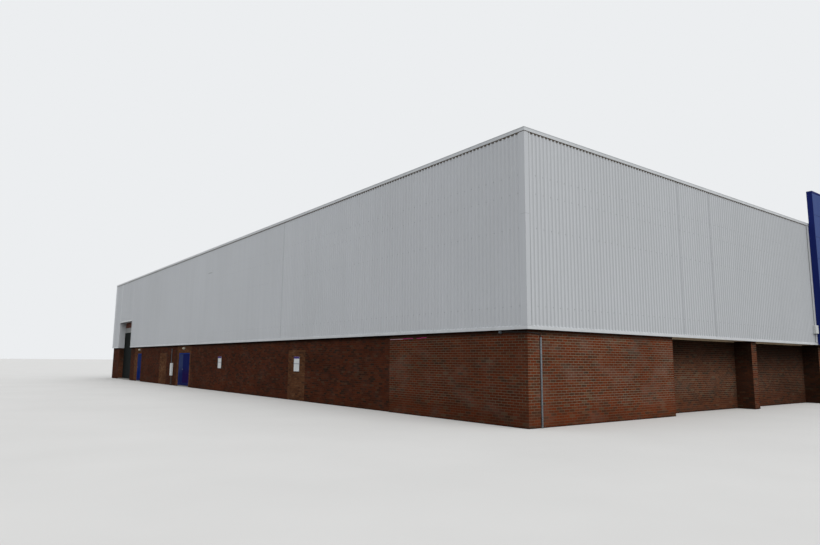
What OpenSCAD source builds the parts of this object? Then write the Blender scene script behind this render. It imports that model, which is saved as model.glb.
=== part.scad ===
// Supermarket shed at half of its real size: a flat-roofed hall with brick walls below, white ribbed
// metal cladding above, a blue sign portal over the entrance and a loading bay in its long side.
// Every size is in millimetres of the half-size model, so the real building is twice as large.
// x runs along the front from its left corner, y runs back from the front, z runs up from the ground.

/* [Hall] */
// Length of each white wing of the front, from the corner to the portal
wing_l = 9700; // [8800:50:12000]
// Length of the blue portal along the front
portal_l = 6900; // [5000:50:9000]
// Length of the long sides, from front to back
side_l = 24600; // [24200:50:30000]
// Height of the parapet above the ground
parapet_h = 4150; // [3900:25:5000]
// Height of one brick course with its joint
course_h = 37.5; // [36:0.5:40]
// Number of brick courses under the cladding
brick_courses = 35; // [34:1:40]
// Thickness of the brick walls
brick_t = 150; // [110:5:200]
// Height of the concrete floor above the ground
floor_h = 30; // [20:5:60]

/* [Cladding] */
// Thickness of the clad wall, with its liner and insulation
clad_t = 110; // [80:5:140]
// How far the cladding stands out past the brick
clad_out = 30; // [20:2:60]
// Width of the flat corner flashing on each face
corner_flash_w = 95; // [60:5:150]
// Thickness of the flashings
flash_t = 3; // [2:0.5:6]
// Height of the bright drip flashing at the foot of the cladding
drip_h = 50; // [30:5:90]
// How far the drip flashing stands out past the ribs
drip_out = 8; // [4:1:16]
// Height of the parapet capping
capping_h = 65; // [40:5:100]
// Overhang of the capping on both sides of the clad wall
capping_out = 10; // [6:1:20]

/* [Front] */
// Length of the front wall that is flush with the cladding at each corner
corner_wall_l = 3600; // [2400:50:5000]
// Depth of the brick recesses between the piers
recess_d = 335; // [200:5:500]
// Width of the brick piers
pier_w = 215; // [150:5:330]
// Distance from the corner to the outer pier
outer_pier_x = 6470; // [5600:10:7400]
// Distance from the end of the portal to the inner pier
inner_pier_in = 75; // [0:5:300]
// Thickness of the soffit boards over the recesses
soffit_t = 12; // [6:1:30]

/* [Portal] */
// Height of the portal above the ground
portal_h = 4910; // [4700:10:5600]
// Thickness of the portal panel
portal_t = 120; // [60:5:160]
// Gap between the portal panel and the cladding, where the rails are
portal_gap = 22; // [16:1:50]
// Width of the rails that carry the portal panel
rail_w = 60; // [30:5:100]

/* [Entrance] */
// Number of bays in the glazed entrance screen
screen_bays = 8; // [6:2:12]
// Width of the posts and rails of the screen
mullion_w = 30; // [20:2:50]
// Depth of the posts and rails of the screen
mullion_d = 60; // [40:5:90]
// Height of the transom over the sliding doors, above the floor
transom_h = 1090; // [1000:10:1180]
// Thickness of the glass
glass_t = 12; // [6:1:20]
// Width of the rim of a sliding door
slider_rim = 24; // [16:2:50]

/* [Side wall] */
// Length of the side wall's near part, which stands forward
side_near_l = 3190; // [1500:10:5000]
// Set-back of the rest of the side wall
side_step = 25; // [10:5:60]
// Distance from the front to the first bricked-up doorway
infill_a_y = 6350; // [5200:10:8000]
// Width of the first bricked-up doorway
infill_a_l = 800; // [500:10:1100]
// Height of the first bricked-up doorway
infill_a_h = 1087.5; // [900:12.5:1200]
// Distance from the back corner to the second bricked-up doorway
infill_b_back = 7320; // [6700:10:7600]
// Width of the second bricked-up doorway
infill_b_l = 830; // [500:5:1100]
// Height of the second bricked-up doorway
infill_b_h = 1065; // [900:5:1200]

/* [Doors] */
// Distance from the back corner to the double door
double_door_back = 9500; // [9400:10:10500]
// Width of the double door's opening
double_door_l = 1075; // [900:5:1200]
// Width of the wide leaf, as measured at its edges
wide_leaf_l = 625; // [450:5:650]
// Distance from the back corner to the single door
side_door_back = 4265; // [4200:5:5000]
// Width of the single door's opening
side_door_l = 540; // [380:5:560]
// Height of the door openings above the floor
door_h = 1030; // [950:5:1100]
// Lighter brick beside the double door, on the side towards the front
near_surround_l = 125; // [40:5:200]
// Lighter brick beside the double door, on the side towards the back
far_surround_l = 185; // [100:5:320]
// Lighter brick beside the single door, on the side towards the back
side_surround_l = 480; // [300:10:520]
// How far the doors are set back in the brick
door_reveal = 10; // [10:5:60]
// Width of the door frames
frame_w = 30; // [20:1:45]
// Depth of the door frames
frame_d = 60; // [50:5:90]
// Thickness of the door leaves
leaf_t = 22; // [16:1:30]
// Clearance all round a door leaf
leaf_gap = 5; // [5:0.5:10]
// Width of the stop that a leaf closes against
stop_w = 12; // [8:1:20]
// Radius of the hinge knuckles
knuckle_r = 4; // [3:0.5:4.5]
// Height of one hinge knuckle
knuckle_h = 30; // [20:2:60]
// Distance from the leaf's ends to its outer hinges
hinge_in = 90; // [50:5:150]

/* [Loading bay] */
// Distance from the back corner to the loading bay
bay_back = 1125; // [600:5:1300]
// Width of the loading bay
bay_l = 2060; // [1500:5:2200]
// Height of the loading bay's opening
bay_h = 2400; // [2300:10:2700]
// Thickness of the brick walls beside the bay
bay_wall_t = 195; // [160:5:330]
// Thickness of the white sheets that line the bay
lining_t = 10; // [4:1:20]
// Height of the roller shutter's closed curtain above the ground
shutter_h = 1965; // [1700:5:2100]
// Thickness of the shutter curtain
shutter_t = 22; // [10:1:40]
// Height of the steel box that holds the rolled shutter
hood_h = 210; // [180:5:320]
// Depth of the box that holds the rolled shutter
hood_d = 180; // [120:5:300]
// How far the shutter runs on behind the brick at each side
shutter_lap = 30; // [15:5:60]

/* [Fittings] */
// Width of the bulkhead lamps
lamp_w = 170; // [100:5:220]
// Height of the bulkhead lamps
lamp_h = 80; // [50:5:110]
// Depth of the bulkhead lamps
lamp_d = 50; // [30:5:70]
// Height of the lamps' middle above the ground
lamp_z = 1205; // [1180:5:1250]
// Distance from the back corner to the meter box
meter_back = 8745; // [8400:5:8800]
// Width of the meter box
meter_w = 175; // [120:5:300]
// Height of the meter box
meter_h = 410; // [300:5:450]
// Depth of the meter box
meter_d = 50; // [30:5:100]
// Height of the meter box's underside above the ground
meter_z = 320; // [200:10:500]
// Width of the white box beside the portal
alarm_w = 150; // [60:5:200]
// Distance from the white box to the end of the portal
alarm_in = 50; // [10:5:200]
// Height of the white box beside the portal
alarm_h = 190; // [100:5:260]
// Depth of the white box beside the portal
alarm_d = 62; // [40:2:100]
// Width of the notice plates
plate_w = 250; // [200:10:400]
// Height of the notice plates
plate_h = 320; // [200:10:400]
// Thickness of the notice plates
plate_t = 4; // [2:0.5:8]
// Height of the notice plates' lower edge above the ground
plate_z = 625; // [550:5:700]
// Distance from the double door's surround to the far notice plate
plate_to_door = 2365; // [1500:5:3000]
// Radius of the conduits on the walls
conduit_r = 13; // [8:1:20]
// Distance from the corner to the conduit on the front
conduit_x = 250; // [150:5:500]
// Height of the conduit on the front
conduit_h = 1210; // [1100:5:1240]

/* [Roof] */
// Height of the parapet above the roof's eaves
eaves_drop = 675; // [600:5:900]
// Pitch of the roof, in degrees
roof_pitch = 2; // [1:0.1:2]
// Thickness of the insulated roof sheets
roof_t = 60; // [40:5:100]
// Width of the gutters behind the parapets
gutter_w = 300; // [200:10:400]
// Depth of the gutters
gutter_d = 120; // [80:5:200]
// Thickness of the gutter sheets
gutter_t = 12; // [6:1:20]
// Width of the ridge capping
ridge_w = 400; // [250:10:600]
// Height of the sealing strip between the roof sheets and the ridge capping
ridge_bed = 1; // [0.5:0.5:5]

/* [Hidden] */
$fn = 32;

brick_red = [0.42, 0.20, 0.14];
new_brick = [0.52, 0.30, 0.20];
white_sheet = [0.80, 0.82, 0.83];
portal_blue = [0.10, 0.14, 0.45];
door_blue = [0.13, 0.19, 0.50];
galvanised = [0.55, 0.57, 0.59];

front_l = 2 * wing_l + portal_l;
plinth_h = course_h * brick_courses;
clad_in = clad_t - clad_out;
clad_top = parapet_h - capping_h;
eaves_h = parapet_h - eaves_drop;
flash_out = clad_out + flash_t;
step_in = side_step + brick_t;
recess_in = recess_d + brick_t;

// Outer reach of the building past its brick corners, which puts the origin under its middle
left_reach = max(meter_d - side_step, clad_out + capping_out);
right_reach = clad_out + capping_out;
front_reach = clad_out + portal_gap + portal_t;
back_reach = clad_out + capping_out;
middle_x = (front_l + right_reach - left_reach) / 2;
middle_y = (side_l + back_reach - front_reach) / 2;

inner_pier_x = wing_l + inner_pier_in;
screen_x = inner_pier_x + pier_w;
screen_l = front_l - 2 * screen_x;
bay_pitch = (screen_l - mullion_w) / screen_bays;
screen_y = recess_d + (brick_t - mullion_d) / 2;

double_door_end = side_l - double_door_back;
double_door_y = double_door_end - double_door_l;
surround_y = double_door_y - near_surround_l;
surround_end = double_door_end + far_surround_l;
infill_b_y = side_l - infill_b_back - infill_b_l;
meter_y = side_l - meter_back - meter_w;
side_door_end = side_l - side_door_back;
side_door_y = side_door_end - side_door_l;
side_surround_end = side_door_end + side_surround_l;
bay_end = side_l - bay_back;
bay_y = bay_end - bay_l;
shutter_x = side_step + bay_wall_t;
shutter_y = bay_y - shutter_lap;
shutter_l = bay_l + 2 * shutter_lap;
hood_top = shutter_h + hood_h;
door_x = side_step + door_reveal;
door_top = floor_h + door_h;

// Hinge knuckles stand this far outside the leaf's face
pin_out = knuckle_r + 1;
flap_l = 5 * knuckle_r;
flap_t = 3;

gutter_top = eaves_h + roof_t;
roof_low_y = clad_in + gutter_w;
roof_run = side_l / 2 - roof_low_y;
ridge_h = eaves_h + roof_run * tan(roof_pitch);
sensor_d = 40;
sensor_w = 45;
sensor_y = 470;
cable_w = 10;
cable_z = plinth_h - 0.7 * sensor_w;
alarm_z = plinth_h + 5 * drip_h;

// Puts the whole building over the origin, with its foot on the ground
module in_place() {
    translate([-middle_x, -middle_y, 0]) children();
}

// A box given by the places where it starts and ends
module block(x0, x1, y0, y1, z0, z1) {
    translate([x0, y0, z0]) cube([x1 - x0, y1 - y0, z1 - z0]);
}

// Draws its children again on the other half of the front
module on_the_right() {
    translate([front_l, 0, 0]) mirror([1, 0, 0]) children();
}

// A flat outline in y and z, extruded along x
module side_profile(x0, x1) {
    translate([x0, 0, 0]) rotate([90, 0, 90]) linear_extrude(x1 - x0) children();
}

// The floor fills the hall between the walls' inner faces, behind the recessed front wall
module floor_slab() {
    color("darkgray") in_place() difference() {
        block(brick_t, front_l - brick_t, recess_in, side_l - brick_t, 0, floor_h);
        block(0, step_in, side_near_l, side_l, -1, floor_h + 1);
        block(0, shutter_x, side_surround_end, side_l, -1, floor_h + 1);
    }
}

module corner_floor() {
    block(brick_t, corner_wall_l - brick_t, brick_t, recess_in, 0, floor_h);
}

// The floor behind the two flush corner walls
module corner_floors() {
    color("darkgray") in_place() {
        corner_floor();
        on_the_right() corner_floor();
    }
}

// Concrete thresholds under the single door, the double door, the shutter and the glazed entrance
module door_sills() {
    color("gray") in_place() {
        block(side_step, step_in, double_door_y, double_door_end, 0, floor_h);
        block(side_step, step_in, side_door_y, side_door_end, 0, floor_h);
        block(side_step, shutter_x, bay_y, bay_end, 0, floor_h);
        block(screen_x, front_l - screen_x, recess_d, recess_in, 0, floor_h);
    }
}

// Flush brick at a front corner
module corner_wall() {
    block(0, corner_wall_l, 0, brick_t, 0, plinth_h);
}

module corner_walls() {
    color(brick_red) in_place() {
        corner_wall();
        on_the_right() corner_wall();
    }
}

// Short wall that turns back from the flush brick to the recessed wall
module recess_return() {
    block(corner_wall_l - brick_t, corner_wall_l, brick_t, recess_in, 0, plinth_h);
}

module recess_returns() {
    color(brick_red) in_place() {
        recess_return();
        on_the_right() recess_return();
    }
}

module recess_wall() {
    block(corner_wall_l, screen_x, recess_d, recess_in, 0, plinth_h);
}

module recess_walls() {
    color(brick_red) in_place() {
        recess_wall();
        on_the_right() recess_wall();
    }
}

module pier(x) {
    block(x, x + pier_w, 0, recess_d, 0, plinth_h);
}

module front_piers() {
    color(brick_red) in_place() {
        for (x = [outer_pier_x, inner_pier_x]) {
            pier(x);
            on_the_right() pier(x);
        }
    }
}

// One board over the whole recess, from the cladding back onto the recessed wall
module recess_soffits() {
    color("tan") in_place()
        block(corner_wall_l, front_l - corner_wall_l, clad_in, recess_in, plinth_h, plinth_h + soffit_t);
}

// Left edge of each bay of the entrance screen, between its posts
function screen_bay_x(i) = screen_x + mullion_w + i * bay_pitch;
function is_door_bay(i) = i == screen_bays / 2 - 1 || i == screen_bays / 2;
pane_w = bay_pitch - mullion_w;
transom_z = floor_h + transom_h;

module entrance_frame() {
    color("gainsboro") in_place() difference() {
        block(screen_x, front_l - screen_x, screen_y, screen_y + mullion_d, floor_h, plinth_h);
        for (i = [0 : screen_bays - 1]) {
            x = screen_bay_x(i);
            foot = is_door_bay(i) ? floor_h - 1 : floor_h + mullion_w;
            block(x, x + pane_w, screen_y - 1, screen_y + mullion_d + 1, foot, transom_z);
            block(x, x + pane_w, screen_y - 1, screen_y + mullion_d + 1,
                transom_z + mullion_w, plinth_h - mullion_w);
        }
    }
}

// Two sliding leaves, drawn shut
module entrance_doors() {
    color("gainsboro") in_place() for (i = [screen_bays / 2 - 1, screen_bays / 2]) {
        x = screen_bay_x(i);
        y = screen_y + mullion_d / 4;
        difference() {
            block(x, x + pane_w, y, y + mullion_d / 2, floor_h, transom_z);
            block(x + slider_rim, x + pane_w - slider_rim, y - 1, y + mullion_d / 2 + 1,
                floor_h + slider_rim, transom_z - slider_rim);
        }
    }
}

module entrance_glass() {
    y = screen_y + (mullion_d - glass_t) / 2;
    color("skyblue", 0.4) in_place() for (i = [0 : screen_bays - 1]) {
        x = screen_bay_x(i);
        rim = is_door_bay(i) ? slider_rim : 0;
        foot = is_door_bay(i) ? floor_h + slider_rim : floor_h + mullion_w;
        block(x + rim, x + pane_w - rim, y, y + glass_t, foot, transom_z - rim);
        block(x, x + pane_w, y, y + glass_t, transom_z + mullion_w, plinth_h - mullion_w);
    }
}

module side_wall_near() {
    color(brick_red) in_place() block(0, brick_t, brick_t, side_near_l, 0, plinth_h);
}

// The wall between the forward part and the double door, round the first bricked-up doorway
module side_wall_middle() {
    color(brick_red) in_place() difference() {
        block(side_step, step_in, side_near_l, surround_y, 0, plinth_h);
        block(0, step_in + 1, infill_a_y, infill_a_y + infill_a_l, -1, infill_a_h);
    }
}

// The wall between the double door and the single door, round the second bricked-up doorway
module side_wall_far() {
    color(brick_red) in_place() difference() {
        block(side_step, step_in, surround_end, side_door_y, 0, plinth_h);
        block(0, step_in + 1, infill_b_y, infill_b_y + infill_b_l, -1, infill_b_h);
    }
}

module bricked_doorways() {
    color(new_brick) in_place() {
        block(side_step, step_in, infill_a_y, infill_a_y + infill_a_l, 0, infill_a_h);
        block(side_step, step_in, infill_b_y, infill_b_y + infill_b_l, 0, infill_b_h);
    }
}

// Thicker walls on both sides of the loading bay
module bay_side_walls() {
    color(brick_red) in_place() {
        block(side_step, shutter_x, side_surround_end, bay_y, 0, plinth_h);
        block(side_step, shutter_x, bay_end, side_l - brick_t, 0, plinth_h);
    }
}

// Lighter brick round the double door
module double_door_surround() {
    color(new_brick) in_place() difference() {
        block(side_step, step_in, surround_y, surround_end, 0, plinth_h);
        block(0, step_in + 1, double_door_y, double_door_end, -1, door_top);
    }
}

// Brick over the single door and lighter brick beside it
module side_door_surround() {
    color(new_brick) in_place() difference() {
        block(side_step, step_in, side_door_y, side_surround_end, 0, plinth_h);
        block(0, step_in + 1, side_door_y - 1, side_door_end, -1, door_top);
    }
}

module back_wall() {
    color(brick_red) in_place() block(side_step, front_l, side_l - brick_t, side_l, 0, plinth_h);
}

module right_wall() {
    color(brick_red) in_place() block(front_l - brick_t, front_l, brick_t, side_l - brick_t, 0, plinth_h);
}

module front_cladding() {
    color(white_sheet) in_place()
        block(-clad_out, front_l + clad_out, -clad_out, clad_in, plinth_h, clad_top);
}

module side_cladding() {
    color(white_sheet) in_place() block(-clad_out, clad_in, clad_in, bay_y, plinth_h, clad_top);
}

// Cladding over the loading bay and beyond it
module bay_cladding() {
    color(white_sheet) in_place() side_profile(-clad_out, clad_in) polygon([
        [bay_y, bay_h], [bay_end, bay_h], [bay_end, plinth_h], [side_l - clad_in, plinth_h],
        [side_l - clad_in, clad_top], [bay_y, clad_top]
    ]);
}

module right_cladding() {
    color(white_sheet) in_place()
        block(front_l - clad_in, front_l + clad_out, clad_in, side_l - clad_in, plinth_h, clad_top);
}

module back_cladding() {
    color(white_sheet) in_place()
        block(-clad_out, front_l + clad_out, side_l - clad_in, side_l + clad_out, plinth_h, clad_top);
}

// Flat angle that covers the cladding's edges at one corner
module corner_flashing() {
    translate([-flash_out, -flash_out, plinth_h + drip_h]) linear_extrude(clad_top - plinth_h - drip_h)
        difference() {
            square(corner_flash_w + flash_out);
            translate([flash_t, flash_t]) square(corner_flash_w + flash_out);
        }
}

module corner_flashings() {
    color(white_sheet) in_place() for (flip_x = [0, 1], flip_y = [0, 1]) {
        translate([flip_x * front_l, flip_y * side_l, 0])
            mirror([flip_x, 0, 0]) mirror([0, flip_y, 0]) corner_flashing();
    }
}

// Folded drip along the foot of the cladding, broken by the portal and the loading bay
module drip_flashing() {
    reach = clad_out + drip_out;
    color("white") in_place() translate([0, 0, plinth_h]) linear_extrude(drip_h) difference() {
        translate([-reach, -reach]) square([front_l + 2 * reach, side_l + 2 * reach]);
        translate([-clad_out, -clad_out]) square([front_l + 2 * clad_out, side_l + 2 * clad_out]);
        translate([wing_l, -reach - 1]) square([portal_l, reach + 1]);
        translate([-reach - 1, bay_y]) square([reach + 1, bay_l]);
    }
}

module end_cappings() {
    reach = clad_out + capping_out;
    start = clad_in + capping_out;
    color("white") in_place() {
        block(-reach, front_l + reach, -reach, start, clad_top, parapet_h);
        block(-reach, front_l + reach, side_l - start, side_l + reach, clad_top, parapet_h);
    }
}

module side_cappings() {
    reach = clad_out + capping_out;
    start = clad_in + capping_out;
    color("white") in_place() {
        block(-reach, start, start, side_l - start, clad_top, parapet_h);
        block(front_l - start, front_l + reach, start, side_l - start, clad_top, parapet_h);
    }
}

// One slope of the roof, from the gutter up to the ridge, between the clad side walls
module slope() {
    side_profile(clad_in, front_l - clad_in) polygon([
        [roof_low_y, eaves_h], [roof_low_y, eaves_h + roof_t],
        [side_l / 2, ridge_h + roof_t], [side_l / 2, ridge_h]
    ]);
}

module roof_front_slope() {
    color("lightgray") in_place() slope();
}

module roof_back_slope() {
    color("lightgray") in_place() translate([0, side_l, 0]) mirror([0, 1, 0]) slope();
}

// Folded sheet over the meeting of the slopes, held by the clad walls at its ends
module ridge_capping() {
    half = ridge_w / 2;
    crest = ridge_h + roof_t + ridge_bed;
    foot = crest - half * tan(roof_pitch);
    color("silver") in_place() side_profile(clad_in, front_l - clad_in) polygon([
        [side_l / 2 - half, foot], [side_l / 2, crest], [side_l / 2 + half, foot],
        [side_l / 2 + half, foot + gutter_t], [side_l / 2, crest + gutter_t],
        [side_l / 2 - half, foot + gutter_t]
    ]);
}

// Box gutter along the inside of the parapet
module gutter() {
    side_profile(clad_in, front_l - clad_in) difference() {
        translate([clad_in, gutter_top - gutter_d]) square([gutter_w, gutter_d]);
        translate([clad_in + gutter_t, gutter_top - gutter_d + gutter_t])
            square([gutter_w - 2 * gutter_t, gutter_d]);
    }
}

module gutters() {
    color("silver") in_place() {
        gutter();
        translate([0, side_l, 0]) mirror([0, 1, 0]) gutter();
    }
}

module portal_panel() {
    back = -(clad_out + portal_gap);
    color(portal_blue) in_place()
        block(wing_l, wing_l + portal_l, back - portal_t, back, plinth_h, portal_h);
}

// Rails between the cladding and the portal panel, with a return that closes each end
module portal_rails() {
    back = -(clad_out + portal_gap);
    color(portal_blue) in_place() {
        for (x = [wing_l, wing_l + portal_l - rail_w])
            block(x, x + rail_w, back, -clad_out, plinth_h, clad_top);
        for (i = [1 : 3])
            translate([wing_l + i * (portal_l - rail_w) / 4, 0, 0])
                block(0, rail_w, back, -clad_out, plinth_h, clad_top);
    }
}

// Frame of a hinged door in the side wall, with a stop behind the leaves
module door_frame(y, l) {
    difference() {
        block(door_x, door_x + frame_d, y, y + l, floor_h, door_top);
        block(door_x - 1, door_x + leaf_t + leaf_gap, y + frame_w, y + l - frame_w,
            floor_h - 1, door_top - frame_w);
        block(door_x - 1, door_x + frame_d + 1, y + frame_w + stop_w, y + l - frame_w - stop_w,
            floor_h - 1, door_top - frame_w - stop_w);
    }
}

// Heights of a leaf's three hinges
hinge_z = [floor_h + hinge_in, floor_h + door_h / 2, door_top - frame_w - hinge_in - 3 * knuckle_h];

// A knuckle with its flap, which lies on the frame (side -1) or on the leaf (side 1)
module knuckle(side, z, h) {
    translate([door_x - pin_out, 0, z]) {
        cylinder(r = knuckle_r, h = h);
        translate([pin_out - flap_t, side > 0 ? 0 : -flap_l, 0]) cube([flap_t, flap_l, h]);
    }
}

// The frame's knuckles stand above and below the leaf's knuckle
module frame_knuckles() {
    for (z = hinge_z) {
        knuckle(-1, z, knuckle_h - 1);
        knuckle(-1, z + 2 * knuckle_h + 1, knuckle_h - 1);
    }
}

module leaf_knuckles() {
    for (z = hinge_z) knuckle(1, z + knuckle_h, knuckle_h);
}

// A leaf that hangs on its front edge, drawn from its hinge line
module leaf(l) {
    block(door_x, door_x + leaf_t, leaf_gap / 2, l + leaf_gap / 2,
        floor_h + leaf_gap, door_top - frame_w - leaf_gap);
    leaf_knuckles();
}

// Lever handle on a round rose
module lever(y, side) {
    translate([door_x, y, floor_h + door_h / 2]) {
        rotate([0, -90, 0]) cylinder(r = 12, h = 8);
        rotate([0, -90, 0]) cylinder(r = 5, h = 30);
        translate([-30, side > 0 ? -5 : -65, -5]) cube([8, 70, 10]);
    }
}

near_hinge_y = double_door_y + frame_w + leaf_gap / 2;
far_hinge_y = double_door_end - frame_w - leaf_gap / 2;
side_hinge_y = side_door_y + frame_w + leaf_gap / 2;
narrow_leaf_l = double_door_l - 2 * frame_w - 3 * leaf_gap - wide_leaf_l;
side_leaf_l = side_door_l - 2 * frame_w - 2 * leaf_gap;

module side_door_frame() {
    color(door_blue) in_place() {
        door_frame(side_door_y, side_door_l);
        translate([0, side_hinge_y, 0]) frame_knuckles();
    }
}

module side_door_leaf() {
    color(door_blue) in_place() translate([0, side_hinge_y, 0]) {
        leaf(side_leaf_l);
        lever(side_leaf_l - 30, -1);
    }
}

module double_door_frame() {
    color(door_blue) in_place() {
        door_frame(double_door_y, double_door_l);
        translate([0, near_hinge_y, 0]) frame_knuckles();
        translate([0, far_hinge_y, 0]) mirror([0, 1, 0]) frame_knuckles();
    }
}

module double_door_wide_leaf() {
    color(door_blue) in_place() translate([0, near_hinge_y, 0]) {
        leaf(wide_leaf_l);
        lever(wide_leaf_l - 30, -1);
    }
}

module double_door_narrow_leaf() {
    color(door_blue) in_place() translate([0, far_hinge_y, 0]) mirror([0, 1, 0]) leaf(narrow_leaf_l);
}

// White sheets that line the clad part of the loading bay
module bay_lining() {
    color(white_sheet) in_place() side_profile(clad_in, shutter_x) difference() {
        translate([bay_y - lining_t, plinth_h])
            square([bay_l + 2 * lining_t, bay_h + lining_t - plinth_h]);
        translate([bay_y, plinth_h - 1]) square([bay_l, bay_h - plinth_h + 1]);
    }
}

module bay_head_wall() {
    color(brick_red) in_place()
        block(shutter_x, shutter_x + brick_t, shutter_y, shutter_y + shutter_l, hood_top, bay_h + lining_t);
}

module shutter_hood() {
    color("lightgray") in_place()
        block(shutter_x, shutter_x + hood_d, shutter_y, shutter_y + shutter_l, shutter_h, hood_top);
}

module roller_shutter() {
    color([0.22, 0.25, 0.25]) in_place()
        block(shutter_x, shutter_x + shutter_t, shutter_y, shutter_y + shutter_l, floor_h, shutter_h);
}

// Bulkhead lamp with a rounded front
module lamp(y) {
    translate([side_step - lamp_d, y, lamp_z]) rotate([0, 90, 0]) linear_extrude(lamp_d) hull() {
        translate([0, lamp_h / 2 - lamp_w / 2]) circle(d = lamp_h);
        translate([0, lamp_w / 2 - lamp_h / 2]) circle(d = lamp_h);
    }
}

module bulkhead_lamps() {
    color("ivory") in_place() {
        lamp(double_door_y + double_door_l * 0.52);
        lamp(side_door_y + side_door_l * 0.52);
    }
}

module meter_box() {
    color("white") in_place()
        block(side_step - meter_d, side_step, meter_y, meter_y + meter_w, meter_z, meter_z + meter_h);
}

module pipe(x, y, z0, z1) {
    translate([x, y, z0]) cylinder(r = conduit_r, h = z1 - z0);
}

// Steel conduit on the front, the conduit over the meter box and the duct that comes up to the box
// from the ground
module wall_conduits() {
    meter_top = meter_z + meter_h;
    color(galvanised) in_place() {
        pipe(conduit_x, -conduit_r, 0, conduit_h);
        pipe(side_step - conduit_r, meter_y + meter_w - conduit_r, meter_top, lamp_z);
        block(side_step - meter_d * 0.8, side_step, meter_y, meter_y + meter_w * 0.55, 0, meter_z);
    }
}

module notice_plates() {
    color("white") in_place()
        for (y = [infill_a_y + infill_a_l / 3, surround_y - plate_to_door - plate_w])
            block(side_step - plate_t, side_step, y, y + plate_w, plate_z, plate_z + plate_h);
}

module alarm_box() {
    color("white") in_place()
        block(wing_l - alarm_in - alarm_w, wing_l - alarm_in, -clad_out - alarm_d, -clad_out,
            alarm_z, alarm_z + alarm_h);
}

// Sensor on the side wall, with the cable that comes up from the front conduit and round the corner
module corner_sensor() {
    sensor_z = cable_z - sensor_w / 2;
    color("dimgray") in_place() {
        block(-sensor_d, 0, sensor_y, sensor_y + sensor_w, sensor_z, sensor_z + sensor_w);
        block(conduit_x - cable_w, conduit_x, -cable_w, 0, conduit_h, cable_z);
        block(-cable_w, conduit_x, -cable_w, 0, cable_z, cable_z + cable_w);
        block(-cable_w, 0, -cable_w, sensor_y, cable_z, cable_z + cable_w);
    }
}

floor_slab();
corner_floors();
door_sills();
corner_walls();
recess_returns();
recess_walls();
front_piers();
recess_soffits();
entrance_frame();
entrance_doors();
entrance_glass();
side_wall_near();
side_wall_middle();
side_wall_far();
bay_side_walls();
bricked_doorways();
double_door_surround();
side_door_surround();
back_wall();
right_wall();
front_cladding();
side_cladding();
bay_cladding();
right_cladding();
back_cladding();
corner_flashings();
drip_flashing();
end_cappings();
side_cappings();
roof_front_slope();
roof_back_slope();
ridge_capping();
gutters();
portal_panel();
portal_rails();
side_door_frame();
side_door_leaf();
double_door_frame();
double_door_wide_leaf();
double_door_narrow_leaf();
bay_lining();
bay_head_wall();
shutter_hood();
roller_shutter();
bulkhead_lamps();
meter_box();
wall_conduits();
notice_plates();
alarm_box();
corner_sensor();
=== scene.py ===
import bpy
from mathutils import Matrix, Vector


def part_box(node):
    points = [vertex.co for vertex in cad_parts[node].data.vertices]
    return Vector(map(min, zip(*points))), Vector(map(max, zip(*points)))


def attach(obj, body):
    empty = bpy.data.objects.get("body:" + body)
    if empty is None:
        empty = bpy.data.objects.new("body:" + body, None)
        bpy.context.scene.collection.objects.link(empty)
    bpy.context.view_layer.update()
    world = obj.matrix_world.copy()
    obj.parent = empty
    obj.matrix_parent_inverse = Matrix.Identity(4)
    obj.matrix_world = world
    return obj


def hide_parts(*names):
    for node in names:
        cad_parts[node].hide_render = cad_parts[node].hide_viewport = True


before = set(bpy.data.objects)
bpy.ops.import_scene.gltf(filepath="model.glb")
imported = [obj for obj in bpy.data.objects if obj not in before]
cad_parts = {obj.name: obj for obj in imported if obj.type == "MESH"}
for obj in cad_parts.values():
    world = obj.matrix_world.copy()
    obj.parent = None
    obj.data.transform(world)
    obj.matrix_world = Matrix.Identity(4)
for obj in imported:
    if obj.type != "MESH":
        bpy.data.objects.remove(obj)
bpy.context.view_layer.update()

# %% [markdown]
# ## Measuring from the brick corner
# A builder sets everything out from one corner of the brickwork. The same is handy here: `span` says
# where a solid starts and ends along x, y and z, measured from the corner where the front meets the
# loading side, and `marks` gives every place where it has a corner. x runs along the front, y runs
# back and z runs up.
# %% Setting out
import math
import random

import bpy
from mathutils import Matrix, Vector

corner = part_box("corner_walls")[0]


def span(node):
    low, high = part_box(node)
    return (low.x - corner.x, high.x - corner.x, low.y - corner.y, high.y - corner.y, low.z, high.z)


def marks(node, axis):
    """Every place along x (0), y (1) or z (2) where a solid has a corner, from low to high."""
    return sorted({round(v.co[axis] - corner[axis], 4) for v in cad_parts[node].data.vertices})


front_l = span("corner_walls")[1]
side_l = span("back_wall")[3]
plinth_h = span("corner_walls")[5]
clad_out = -span("front_cladding")[2]
clad_in = span("front_cladding")[3]
clad_top = span("front_cladding")[5]
print("front", front_l, "side", side_l, "brick height", plinth_h, "cladding top", clad_top)

# %% [markdown]
# ## One helper that collects corners and faces
# Blender can make a mesh from a list of corners and a list of faces. `Piece` gathers both, so that a
# thousand bricks or ribs end up in one object. Each corner also keeps a number called tone, which a
# material can read later to give every brick its own colour. Many pieces are rings of corners that
# follow each other, such as a bent sheet or a cable, and `skin` gives the faces that join them.
# %% The piece maker
BOX_FACES = [(0, 2, 3, 1), (4, 5, 7, 6), (0, 1, 5, 4), (2, 6, 7, 3), (0, 4, 6, 2), (1, 3, 7, 5)]


def skin(count, rings, closed=False):
    """The faces between rings of the same number of corners, with a cap at both ends."""
    faces = []
    for r in range(rings if closed else rings - 1):
        a, b = r * count, (r + 1) % rings * count
        faces += [(a + i, a + (i + 1) % count, b + (i + 1) % count, b + i) for i in range(count)]
    if not closed:
        last = (rings - 1) * count
        faces += [tuple(reversed(range(count))), tuple(range(last, last + count))]
    return faces


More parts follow.
